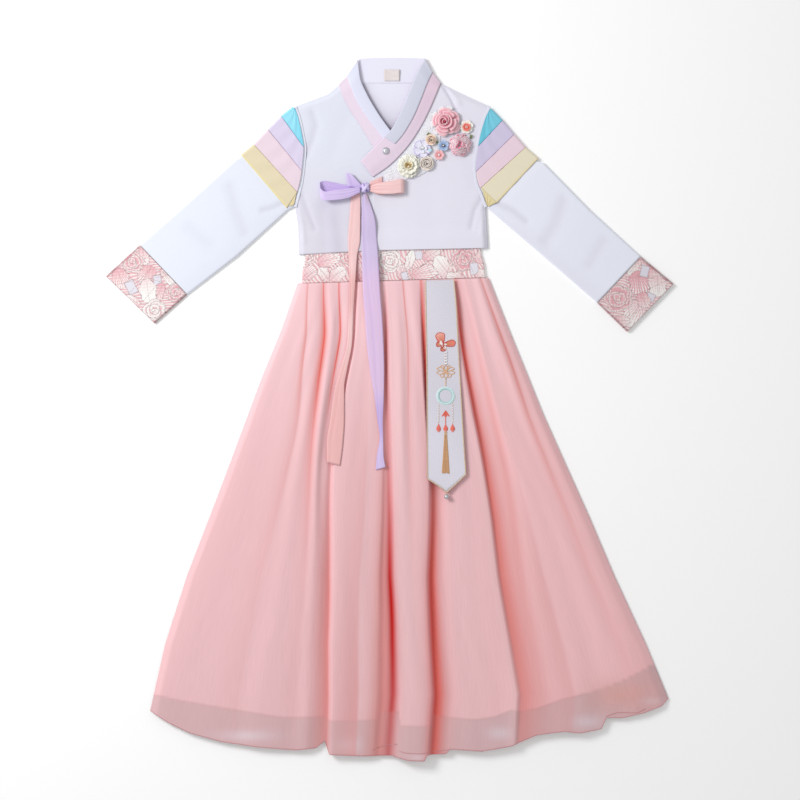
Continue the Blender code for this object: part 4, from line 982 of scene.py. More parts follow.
def build_waistband():
    points = ring(330, 6)
    sections = [tube_section(*station, points) for station in WAISTBAND]
    body = loft(sections, (34, 26, 5, 8))
    top = points[:, 2] > TOP_FACE
    u, v = body[..., 0] - WAIST_MOTIF_ORIGIN[0], body[..., 1] - WAIST_MOTIF_ORIGIN[1]
    pucker = 0.35 * np.sin(u / 9.0 + 2.0 * np.sin(u / 31.0)) * np.exp(-v / 9.0)
    body[..., 2] += pucker * top * np.sin(math.pi * points[:, 0]) ** 0.2
    paint = brocade(u, v, WAIST_MOTIFS)
    # Painted shadow: a dark red patch on the waistband between the ribbon tails.
    shadow_between_tails = np.exp(-((u - 80.0) / 7.0) ** 2)
    paint = lerp(paint, tint(206, 96, 100), 0.6 * shadow_between_tails[..., None])
    piece = surface("waistband_tube", body, "brocade_weave", paint, outer=True, wrap=True)
    dress(piece, "brocade", "waistband")


# Skirt

# Edge of the lining as it shows through the sheer skirt
LINING_EDGE = (
    (-345.0, -432.0), (-317.3, -438.8), (-245.3, -450.8), (-158.3, -464.3), (-93.8, -463.5),
    (-90.8, -469.5), (-66.8, -469.5), (-17.3, -468.0), (-14.3, -456.8), (14.3, -455.3),
    (17.3, -476.3), (60.8, -477.0), (65.3, -459.0), (89.3, -464.3), (128.3, -467.3),
    (158.3, -462.8), (183.8, -452.3), (194.3, -455.3), (222.8, -450.0), (240.8, -443.3),
    (261.8, -435.8), (300.8, -426.8), (321.8, -420.8), (348.8, -410.3), (375.8, -396.0),
    (410.0, -378.0),
)
CREST = tint(238, 193, 197)
CREST_TOP = tint(244, 203, 208)
SHEER = tint(219, 181, 184)
SHEER_LIGHT = tint(229, 208, 214)
SHEER_RIM = tint(212, 158, 160)
HEM_ROLL = tint(206, 150, 154)
# Painted light: factor by which the right-hand side of the skirt, away from the key light, is painted
# brighter
RIGHT_LIFT = np.array((1.09, 1.05, 1.04))
# Paler patches of the sheer hem: centre and half sizes
HEM_LIGHTS = (
    ((-60.0, -506.0), 17.0, 11.0), ((46.0, -524.0), 14.0, 5.0), ((165.0, -488.0), 18.0, 10.0),
    ((297.0, -471.0), 22.0, 10.0), ((-215.0, -492.0), 40.0, 8.0), ((392.0, -440.0), 16.0, 7.0),
)
# Rolled edges of the flaps that lie over each other at the hem
HEM_FLAPS = (
    ((12.8, -513.8), (24.0, -517.0), (43.5, -518.2), (62.3, -515.5)),
    ((-25.5, -513.5), (-13.5, -508.5), (12.0, -504.5)),
    ((66.0, -516.0), (78.0, -514.5), (88.5, -513.0)),
    ((325.0, -463.0), (345.0, -457.5), (368.0, -458.0), (384.0, -452.0)),
)
# Colours painted along the folds: painted shade and the deeper pink of overlapping layers, and a painted
# highlight (light)
TONES = {
    "soft": tint(224, 150, 144), "valley": tint(222, 116, 106), "red": tint(232, 62, 44),
    "deep": tint(190, 22, 14), "tone": tint(226, 158, 158), "light": tint(250, 212, 214),
}
# Painted shade and painted highlight along fold lines, partly the deeper pink where sheer layers overlap:
# strength at the five levels, soft width to the left and to the right at the waist and at the hem, colour
SHADES = (
    ("first valley", (0.25, 0.30, 0.25, 0.14, 0.05), (2.5, 24.0), (1.6, 5.0), "soft"),
    ("second valley", (0.30, 0.90, 0.45, 0.10, 0.05), (4.5, 18.0), (4.5, 7.0), "valley"),
    ("third valley", (0.30, 0.70, 0.05, 0.10, 0.05), (1.6, 14.0), (2.6, 4.0), "valley"),
    ("panel foot", (0.10, 0.15, 0.10, 0.60, 0.60), (4.0, 20.0), (1.4, 2.5), "valley"),
    ("panel middle", (0.00, 0.05, 0.18, 0.40, 0.80), (18.0, 30.0), (1.5, 2.0), "tone"),
    ("channel left", (0.10, 0.20, 0.20, 0.35, 0.45), (6.0, 14.0), (4.0, 14.0), "soft"),
    ("channel foot", (0.10, 0.25, 0.20, 0.50, 0.60), (3.0, 12.0), (4.0, 12.0), "valley"),
    ("channel step", (0.00, 0.65, 0.38, 1.00, 0.75), (2.0, 8.0), (3.5, 9.5), "deep"),
    ("centre ridge", (0.00, 0.10, 0.25, 0.20, 0.00), (6.0, 11.0), (6.0, 12.0), "light"),
    ("centre valley", (0.30, 0.30, 0.20, 0.05, 0.00), (2.0, 9.0), (2.5, 14.0), "soft"),
    ("bright edge", (0.10, 0.15, 0.20, 0.45, 0.55), (7.0, 11.0), (1.0, 1.0), "tone"),
    ("deep foot", (0.45, 1.00, 0.45, 0.95, 0.90), (1.8, 9.0), (3.0, 10.0), "red"),
    ("deep foot", (0.30, 0.50, 0.50, 0.55, 0.60), (1.4, 2.0), (5.0, 22.0), "valley"),
    ("right foot", (0.25, 1.00, 0.75, 0.20, 0.00), (2.4, 4.0), (3.5, 8.0), "red"),
    ("right foot", (0.30, 0.40, 0.60, 0.72, 0.55), (1.5, 6.0), (7.0, 34.0), "valley"),
    ("soft side", (0.05, 0.20, 0.35, 0.20, 0.00), (4.0, 10.0), (5.0, 10.0), "valley"),
    ("right edge", (0.00, 0.00, 0.20, 0.20, 0.30), (5.0, 8.0), (3.0, 5.0), "light"),
    ("right ridge", (0.25, 0.12, 0.10, 0.40, 0.35), (3.0, 36.0), (1.4, 4.0), "tone"),
    ("last valley", (0.25, 0.50, 0.30, 0.12, 0.05), (3.0, 12.0), (2.0, 8.0), "valley"),
    ("first valley", (0.45, 0.50, 0.10, 0.00, 0.00), (0.8, 1.5), (0.8, 1.5), "valley"),
    ("second valley", (0.60, 0.60, 0.15, 0.00, 0.00), (0.8, 1.5), (0.8, 1.5), "red"),
    ("third valley", (0.60, 0.80, 0.00, 0.00, 0.00), (0.8, 1.5), (0.8, 1.5), "red"),
    ("panel foot", (0.50, 0.40, 0.00, 0.00, 0.00), (0.8, 1.5), (0.8, 1.5), "red"),
    ("centre valley", (0.60, 0.55, 0.15, 0.00, 0.00), (0.8, 1.5), (0.8, 1.5), "valley"),
    ("last valley", (0.50, 0.60, 0.15, 0.00, 0.00), (0.8, 1.5), (0.8, 1.5), "valley"),
    ("right crown", (0.10, 0.10, 0.10, 0.12, 0.30), (8.0, 30.0), (6.0, 8.0), "soft"),
)


def skirt_sides(y):
    rising = SKIRT_SIDES[::-1]
    return read(rising, y, 1), read(rising, y, 2)


def skirt_plan(share, row):
    """Plan point and fold level of the skirt: row 0 waist seam, 1 start of the hem, 2 hem."""
    y = lerp(lerp(*WAIST_SEAM, share) - SEAM, HEM_START, np.minimum(row, 1.0))
    left, right = skirt_sides(y)
    x = lerp(left, right, share)
    hem_x = lerp(HEM[0][0], HEM[-1][0], share)
    hem_share = np.maximum(row - 1.0, 0.0)
    level = np.where(row > 1.0, lerp(HEM_START, LEVELS[-1], hem_share), y)
    return lerp(x, hem_x, hem_share), lerp(y, read(HEM, hem_x), hem_share), level


DOWN = [LEVELS[0] - level for level in LEVELS]


def fold_lines(y):
    """Shares of the width and heights of all the fold lines at a height up the garment."""
    shares = [float(monotone(DOWN, fold[1], LEVELS[0] - y)) for fold in FOLDS]
    heights = [float(monotone(DOWN, fold[2], LEVELS[0] - y)) for fold in FOLDS]
    return shares, heights


def front_height(x, y):
    """Lower face of the skirt front above a plan point."""
    left, right = skirt_sides(y)
    return float(monotone(*fold_lines(y), (x - left) / (right - left)))


def skirt_colour(x, y, level, line_x):
    """Sheer pink: paler at the waist, painted shade and highlight along the folds, greyer below the lining.
    """
    upper = ramp((y + 150.0) / 330.0)
    colour = lerp(CREST, CREST_TOP, (0.8 * upper)[..., None])
    # Painted light: brighter towards the right, away from the key light.
    away_from_light = ramp((x - 90.0) / 120.0)[..., None]
    colour = colour * lerp(np.ones(3), RIGHT_LIFT, away_from_light)
    edge = read(LINING_EDGE, x)
    beyond = ramp((edge - y) / 4.0 + 0.5)
    light = sum(np.exp(-((x - px) / rx) ** 2 - ((y - py) / ry) ** 2)
                for (px, py), rx, ry in HEM_LIGHTS)
    sheer = lerp(SHEER, SHEER_LIGHT, np.clip(0.8 * light, 0.0, 1.0)[..., None])
    colour = lerp(colour, sheer, beyond[..., None])
    warm = np.exp(-((x - 346.0) / 45.0) ** 2 - ((y + 431.0) / 22.0) ** 2)
    colour = lerp(colour, tint(228, 172, 166), (0.8 * warm)[..., None])
    rim = np.exp(-((edge - y - 0.5) / 1.8) ** 2)
    colour = lerp(colour, SHEER_RIM, (0.22 * rim)[..., None])
    down = LEVELS[0] - level
    share = down / (LEVELS[0] - LEVELS[-1])
    # Painted shade and painted highlight along each fold line, weaker below the lining.
    for name, strengths, left, right, tone in SHADES:
        i = [fold[0] for fold in FOLDS].index(name)
        away = x - line_x[:, i:i + 1]
        width = np.where(away < 0.0, lerp(*left, share), lerp(*right, share))
        amount = monotone(DOWN, strengths, down) * np.exp(-(away / width) ** 2)
        colour = lerp(colour, TONES[tone], (amount * (1.0 - 0.2 * beyond))[..., None])
    return colour


def build_skirt():
    steps = 7
    rows = np.concatenate((np.linspace(0.0, 0.1, 14)[:-1], np.linspace(0.1, 1.0, 112)[:-1],
                           np.linspace(1.0, 2.0, 40)))
    folds = len(FOLDS)
    first = np.array([fold[1][0] for fold in FOLDS])
    level = skirt_plan(first[None, :], rows[:, None])[2]
    line_share, line_height = np.empty(level.shape), np.empty(level.shape)
    for i, fold in enumerate(FOLDS):
        line_share[:, i] = monotone(DOWN, fold[1], LEVELS[0] - level[:, i])
        line_height[:, i] = monotone(DOWN, fold[2], LEVELS[0] - level[:, i])
    columns = np.arange((folds - 1) * steps + 1) / steps
    i = np.minimum(columns.astype(int), folds - 2)
    share = lerp(line_share[:, i], line_share[:, i + 1], columns - i)
    height = np.array([monotone(s, h, row) for s, h, row in zip(line_share, line_height, share)])
    x, y, fine_level = skirt_plan(share, rows[:, None])
    line_x = skirt_plan(line_share, rows[:, None])[0]

    fade = ramp(rows / 0.15)[:, None]
    side_fade = ramp(np.minimum(share, 1.0 - share) * 25.0)
    ripple = (0.35 * np.sin(share * 61.0 + 2.2 * np.sin(y / 130.0)) +
              0.25 * np.sin(share * 127.0 + 1.7 * np.sin(y / 74.0 + share * 9.0)))
    z = height + ripple * fade * side_fade
    colour = skirt_colour(x, y, fine_level, line_x)
    front = surface("skirt_sheer_front", stacked(x, y, z), "chiffon", colour, wall=0.7)
    dress(front, "sheer_pink", "skirt_front")

    hem = Pile()
    last = np.stack((x[-1], y[-1] + 0.4, z[-1] + 0.35), axis=-1)
    hem.add(tube_points(last, 0.7), HEM_ROLL, wrap=True)
    for line in HEM_FLAPS:
        fine = along_rows(line, np.linspace(0.0, len(line) - 1, 8 * (len(line) - 1) + 1))
        nearest = [int(np.argmin((x - px) ** 2 + (y - py) ** 2)) for px, py in fine]
        hem.add(tube_points(stacked(fine[:, 0], fine[:, 1], z.ravel()[nearest] + 0.9), 0.45, 6,
                            0.6), HEM_ROLL, wrap=True)
    hem = hem.build("skirt_hem_roll", "chiffon")

    rows = np.linspace(0.0, 1.95, 60)[:, None]
    share = lerp(0.002, 0.998, np.linspace(0.0, 1.0, 120))[None, :]
    x, y, _ = skirt_plan(share, rows)
    beyond = ramp((read(LINING_EDGE, x) - y) / 2.5 + 0.5)
    seamed = 0.25 * np.sin(share * 140.0) * ramp(rows * 5.0)
    colour = lerp(tint(232, 180, 182), SHEER, beyond[..., None]) * (1.0 + 0.06 * seamed[..., None])
    back = surface("skirt_sheer_back", stacked(x, y, 0.0), "chiffon", colour, wall=0.7)
    dress(back, "sheer_pink", "skirt_back")

    top_shares = np.linspace(LINING_SHARES[1], LINING_SHARES[0], 90)
    bottom_shares = np.linspace(LINING_SHARES[0], LINING_SHARES[1], 30)
    body = []
    for row in np.linspace(0.0, 1.0, 40):
        share = np.concatenate((top_shares, bottom_shares))
        y = lerp(lerp(*WAIST_SEAM, share) - SEAM, LINING_END, row)
        left, right = skirt_sides(y)
        x = lerp(left, right, share)
        z = np.full(len(share), LINING_BOTTOM)
        shares, heights = fold_lines(float(y[len(top_shares) // 2]))
        reach = LINING_REACH / float((right - left)[0])
        low = np.min([monotone(shares, heights, top_shares + reach * k / 4.0)
                      for k in range(-4, 5)], axis=0)
        z[:len(top_shares)] = np.maximum(LINING_LOW, low - LINING_CLEARANCE)
        z[0] = z[len(top_shares) - 1] = LINING_LOW
        body.append(stacked(x, y, z))
    lining = surface("skirt_inner", np.array(body), "chiffon", tint(214, 140, 138), wall=0.7,
                     outer=True, wrap=True)
    dress(lining, "lining_pink", "skirt_lining")


# Ribbons and belt panel

LILAC = tint(217, 199, 239)
LILAC_DEEP = tint(186, 160, 222)
LILAC_TOP = tint(210, 194, 226)
LILAC_WARM = tint(228, 198, 230)
PEACH = tint(244, 206, 206)
PEACH_DEEP = tint(228, 160, 158)
PEACH_LOW = tint(240, 187, 186)
# Painted shade on the turned top corner of the lilac tail
MAUVE_SHADE = tint(196, 168, 178)
KNOT_SHADE = tint(162, 140, 204)
# Wraps of the knot: lean, offset and half width in shares of its size, lift, colour
KNOT_WRAPS = (
    (0.55, 0.42, 0.34, 0.95, tint(208, 192, 238)), (0.35, -0.42, 0.32, 0.97, tint(214, 198, 240)),
    (-0.75, 0.05, 0.34, 1.04, tint(222, 210, 244)),
)


def support_height(x, y):
    """Top of the jacket, waistband or skirt under a plan point, for what lies on it."""
    if y > read(HEM_LINE, x) - 3.0:
        height = over_height(x, y) if x > OVER_EDGE[0][1] - 3.0 else under_height(x, y)
        return float(height) + WALL
    if y > WAIST_SEAM[0] - 3.0:
        return WAISTBAND[0][3]
    return front_height(x, y) + 1.2 * WALL


def resting_height(left, right, reach):
    """Height at which a strip clears all that lies under it, up to a reach along it."""
    points = [
        (lerp(left[0], right[0], across) + (across - 0.5) * 2.0 * MARGIN,
         lerp(left[1], right[1], across) + along)
        for across in np.linspace(0.0, 1.0, 7) for along in np.linspace(-reach, reach, 5)
    ]
    return max(support_height(x, y) for x, y in points) + GAP


def strip_heights(rows):
    """A resting height for each row of a strip, over the stretch to the rows next to it."""
    middles = [(left[1] + right[1]) / 2.0 for left, right in rows]
    gaps = [abs(b - a) for a, b in zip(middles, middles[1:])]
    reaches = [max(gaps[max(i - 1, 0)], gaps[min(i, len(gaps) - 1)]) for i in range(len(rows))]
    return [resting_height(*row, reach) for row, reach in zip(rows, reaches)]


def strip_points(rows, heights, tight=10, across=13):
    """Fine points of a strip, with the share across it and the row number of each."""
    params = np.linspace(0.0, len(rows) - 1, (len(rows) - 1) * tight + 1)
    table = along_rows([(*left, *right, height) for (left, right), height in zip(rows, heights)],
                       params)
    share = np.linspace(0.0, 1.0, across)[None, :]
    x = lerp(table[:, 0:1], table[:, 2:3], share)
    y = lerp(table[:, 1:2], table[:, 3:4], share)
    return x, y, np.broadcast_to(table[:, 4:5], x.shape).copy(), share, params[:, None]


def build_tails():
    pieces = (
        ("pink", TAIL_PINK, strip_heights(TAIL_PINK), PEACH, PEACH_DEEP, "ribbon_peach",
         (0.024, 0.420), 0.0070),
        ("lilac", TAIL_LILAC, [height + LAYER * (row[0][1] > 260.0) for height, row in
                               zip(strip_heights(TAIL_LILAC), TAIL_LILAC)],
         LILAC, LILAC_DEEP, "ribbon_lilac", (0.026, 0.420), 0.0076),
    )
    for name, rows, heights, light, deep, slot, flat, area in pieces:
        x, y, z, share, _ = strip_points(rows, heights)
        if name == "pink":
            crease = 0.35 + 0.12 * np.sin(y / 47.0)
            narrow = ramp((y - 120.0) / 40.0) * ramp((215.0 - y) / 30.0)
            low = ramp((130.0 - y) / 120.0)
            base = lerp(light, PEACH_LOW, low[..., None])
        else:
            crease = 0.30 + 0.10 * np.sin(y / 60.0)
            narrow = ramp((30.0 - y) / 40.0) * ramp((y + 60.0) / 30.0)
            low = ramp((235.0 - y) / 60.0) * ramp((y + 20.0) / 60.0)
            base = lerp(LILAC_TOP, light, ramp((240.0 - y) / 90.0)[..., None])
            base = lerp(base, LILAC_WARM, low[..., None])
        groove = np.exp(-((share - crease) / 0.09) ** 2)
        z += 0.35 * np.sin(math.pi * share) - 0.3 * groove
        selvedge = np.exp(-np.minimum(share, 1.0 - share) / 0.05)
        streaks = 0.06 * np.sin(share * 21.0 + 0.02 * y) * np.sin(y / 37.0 + 5.0 * share)
        # Painted shade: darker in the crease, where the ribbon twists and narrows (partly its back side) and
        # at the top under the knot.
        amount = 0.06 + 0.16 * groove + 0.16 * selvedge + 0.45 * narrow + streaks
        amount = amount + 0.25 * np.exp(-np.maximum(322.0 - y, 0.0) / 12.0)
        colour = lerp(base, deep, np.clip(amount, 0.0, 1.0)[..., None])
        if name == "lilac":
            # Painted shade on the lilac tail's top right corner, partly its folded mauve back.
            turned_and_shaded = ramp((y - 300.0) / 22.0) * ramp((share - 0.45) * 4.0)
            colour = lerp(colour, MAUVE_SHADE, (0.85 * turned_and_shaded)[..., None])
        piece = surface(f"ribbon_tail_{name}", stacked(x, y, z), "ribbon_satin", colour, wall=0.5)
        dress(piece, slot, f"bow_tail_{name}")


def build_bow():
    (kx, ky, kz), size = KNOT
    turn, level = np.meshgrid(np.linspace(0.0, 2.0 * math.pi, 41)[:-1],
                              np.linspace(0.02, math.pi - 0.02, 24))
    knot = Pile()
    core = stacked(np.sin(level) * np.cos(turn), np.sin(level) * np.sin(turn), np.cos(level))
    knot.add(np.array((kx, ky, kz)) + 0.86 * np.array(size) * core, KNOT_SHADE, wrap=True)
    for lean, offset, half, lift, tone in KNOT_WRAPS:
        along, across = np.meshgrid(np.linspace(-1.45, 1.45, 34), np.linspace(-1.0, 1.0, 11),
                                    indexing="ij")
        side = offset + half * across * (0.55 + 0.45 * np.cos(along))
        out = np.sqrt(np.clip(1.0 - side * side, 0.05, 1.0)) * lift
        px, py = side, out * np.sin(along)
        pz = out * np.cos(along) + 0.10 * np.cos(across * math.pi / 2.0)
        x = kx + size[0] * (px * math.cos(lean) - py * math.sin(lean))
        y = ky + size[1] * (px * math.sin(lean) + py * math.cos(lean))
        shade = 0.75 * np.abs(across) ** 3 + 0.35 * np.abs(along / 1.45) ** 2
        knot.add(stacked(x, y, kz + size[2] * pz),
                 lerp(tone, KNOT_SHADE, np.clip(shade, 0.0, 1.0)[..., None]), up=True)
    dress(knot.build("ribbon_knot", "ribbon_satin", wall=0.3), "ribbon_lilac", "bow_knot")

    loops = (("lilac", LOOP_LILAC, LILAC, LILAC_DEEP, "ribbon_lilac", (0.016, 0.138), 0.0020),
             ("pink", LOOP_PINK, PEACH, PEACH_DEEP, "ribbon_peach", (0.021, 0.112), 0.0021))
    for name, rows, light, deep, slot, flat, area in loops:
        params = np.linspace(0.0, len(rows) - 1, 110)
        path = along_rows(rows, params)[::-1]
        side = np.linspace(-1.0, 1.0, 21)[None, :]
        half = path[:, 3:4]
        near_knot = np.exp(-np.abs(path[:, 0:1] - kx) / 20.0)
        gather = np.cos(side * 10.0 + path[:, 0:1] * 0.05 + 1.0)
        x = np.repeat(path[:, 0:1], side.shape[1], axis=1)
        y = path[:, 1:2] + side * half + 0.5 * np.sin(x / 9.0) * (np.abs(x - kx) > 12.0)
        top = ramp((path[:, 2:3] - 9.0) / 4.0)
        z = path[:, 2:3] + 0.75 * gather * near_knot * (2.0 * top - 1.0) - 0.25 * side ** 2 * top
        selvedge = np.exp(-(1.0 - np.abs(side)) / 0.10)
        soft = np.exp(-((side - 0.25 * np.sin(x / 23.0)) / 0.22) ** 2)
        # Painted shade: darker on the lower layer inside the loop and between the gathers near the knot.
        amount = 0.04 + 0.50 * (1.0 - top) + 0.75 * near_knot * (0.5 - 0.5 * gather)
        amount = np.clip(amount + 0.15 * selvedge + 0.14 * soft * top, 0.0, 1.0)
        colour = lerp(light, deep, amount[..., None])
        piece = surface(f"ribbon_loop_{name}", stacked(x, y, z), "ribbon_satin", colour,
                        wall=0.5, outer=True)
        dress(piece, slot, f"bow_loop_{name}")

    for name, (corners, height), light, deep, slot, flat, area in (
            ("lilac", STUB_LILAC, LILAC, LILAC_DEEP, "ribbon_lilac", (0.025, 0.021), 0.00036),
            ("pink", STUB_PINK, PEACH, PEACH_DEEP, "ribbon_peach", (0.021, 0.015), 0.00023)):
        row, share = np.meshgrid(np.linspace(0.0, 1.0, 24), np.linspace(0.0, 1.0, 12),
                                 indexing="ij")
        near = between(corners[0], corners[1], share)
        far = between(corners[3], corners[2], share)
        x, y = between(near, far, row)
        fold = np.exp(-((share - 0.75) / 0.08) ** 2)
        # Painted shade: darker along the fold and towards the knot.
        colour = lerp(light, deep, (0.05 + 0.30 * fold + 0.35 * (1.0 - row))[..., None])
        piece = surface(f"ribbon_end_{name}", stacked(x, y, height + 0.4 * fold * row),
                        "ribbon_satin", colour, wall=0.5)
        dress(piece, slot, f"bow_stub_{name}")


BELT_WHITE = tint(222, 219, 230)
# Middle of the embroidery, and the half width over which the binding turns inwards
BELT_MIDDLE = 84.0
BINDING_REACH = 22.0
CORAL = tint(238, 112, 96)
CORAL_LIGHT = tint(250, 176, 162)
MINT = tint(206, 233, 233)
STRING = tint(222, 176, 128)
TASSEL = tint(210, 160, 116)
BUTTERFLY = (78.5, 93.5)
# Wings of the butterfly: heading, length, width, colours
BUTTERFLY_WINGS = (
    (1.75, 19.0, 15.0, (CORAL, CORAL_LIGHT)), (2.95, 8.5, 8.0, (CORAL_LIGHT, CORAL)),
    (-1.35, 9.5, 8.0, (CORAL_LIGHT, CORAL)), (0.18, 20.5, 11.0, (CORAL, tint(244, 136, 118))),
)


def thread(pile, points, radius, colour, flat=0.6, sides=6):
    pile.add(tube_points(points, radius, sides, flat), colour, wrap=True)


def ball(pile, centre, radius, colour, steps=12):
    turn, level = np.meshgrid(np.linspace(0.0, 2.0 * math.pi, steps + 1)[:-1],
                              np.linspace(0.05, math.pi - 0.05, steps // 2 + 2))
    points = stacked(np.sin(level) * np.cos(turn), np.sin(level) * np.sin(turn), np.cos(level))
    pile.add(np.asarray(centre) + radius * points, colour, wrap=True)


def petal(pile, base, heading, length, width, colours, rise=0.0, cup=0.0, curl=0.0, wave=0.0,
          waves=5.0, tip=0.25, leaf=False, detail=(7, 9), rim=None):
    """A petal from its base outwards, whose colour runs from the first to the second."""
    s, t = np.meshgrid(np.linspace(0.0, 1.0, detail[0]), np.linspace(-1.0, 1.0, detail[1]),
                       indexing="ij")
    profile = np.sin(math.pi * np.clip(s, 0.02, 0.98)) ** 0.8 if leaf else (
        0.25 + 0.75 * np.sin(math.pi / 2.0 * s))
    side = t * width / 2.0 * profile
    out = length * s * (1.0 - tip * t * t * (not leaf))
    z = out * math.sin(rise) + cup * t * t * profile - curl * s ** 3
    z = z + wave * s * s * np.sin(waves * math.pi * t + heading)
    out = out * math.cos(rise)
    c, d = math.cos(heading), math.sin(heading)
    x, y = base[0] + out * c - side * d, base[1] + out * d + side * c
    share = np.clip(s ** 1.2 + 0.15 * np.abs(t) * s, 0.0, 1.0)
    colour = lerp(colours[0], colours[1], share[..., None])
    if rim is not None:
        near_rim = np.maximum((s > 0.99) * 1.0, (np.abs(t) > 0.99) * (s > 0.35))
        colour = lerp(colour, rim, 0.85 * near_rim[..., None])
    pile.add(stacked(x, y, base[2] + z), colour, up=True)


def spiral(pile, centre, turns, radii, bottom, tops, colours, wobble=0.5, lean=0.8, phase=0.0):
    """A petal wound round and round, higher in the middle, with a soft rolled edge."""
    count = int(turns * 22)
    a = np.linspace(0.0, turns * 2.0 * math.pi, count) + phase
    f = np.linspace(0.0, 1.0, count)
    radius = lerp(radii[0], radii[1], f) + wobble * np.sin(a * 1.37 + 1.0)
    top = lerp(tops[0], tops[1], f) + 0.5 * np.sin(a * 2.3)
    rows = []
    paint = []
    for level, out in ((0.0, -0.6), (0.5, -0.2), (0.85, 0.1), (1.0, lean * 0.7), (0.96, lean * 1.5)):
        r = np.maximum(radius + out, 0.05)
        rows.append(stacked(centre[0] + r * np.cos(a), centre[1] + r * np.sin(a),
                            bottom + level * top))
        paint.append(np.broadcast_to(lerp(colours[0], colours[1], level ** 2), (count, 3)))
    pile.add(np.array(rows), np.array(paint))


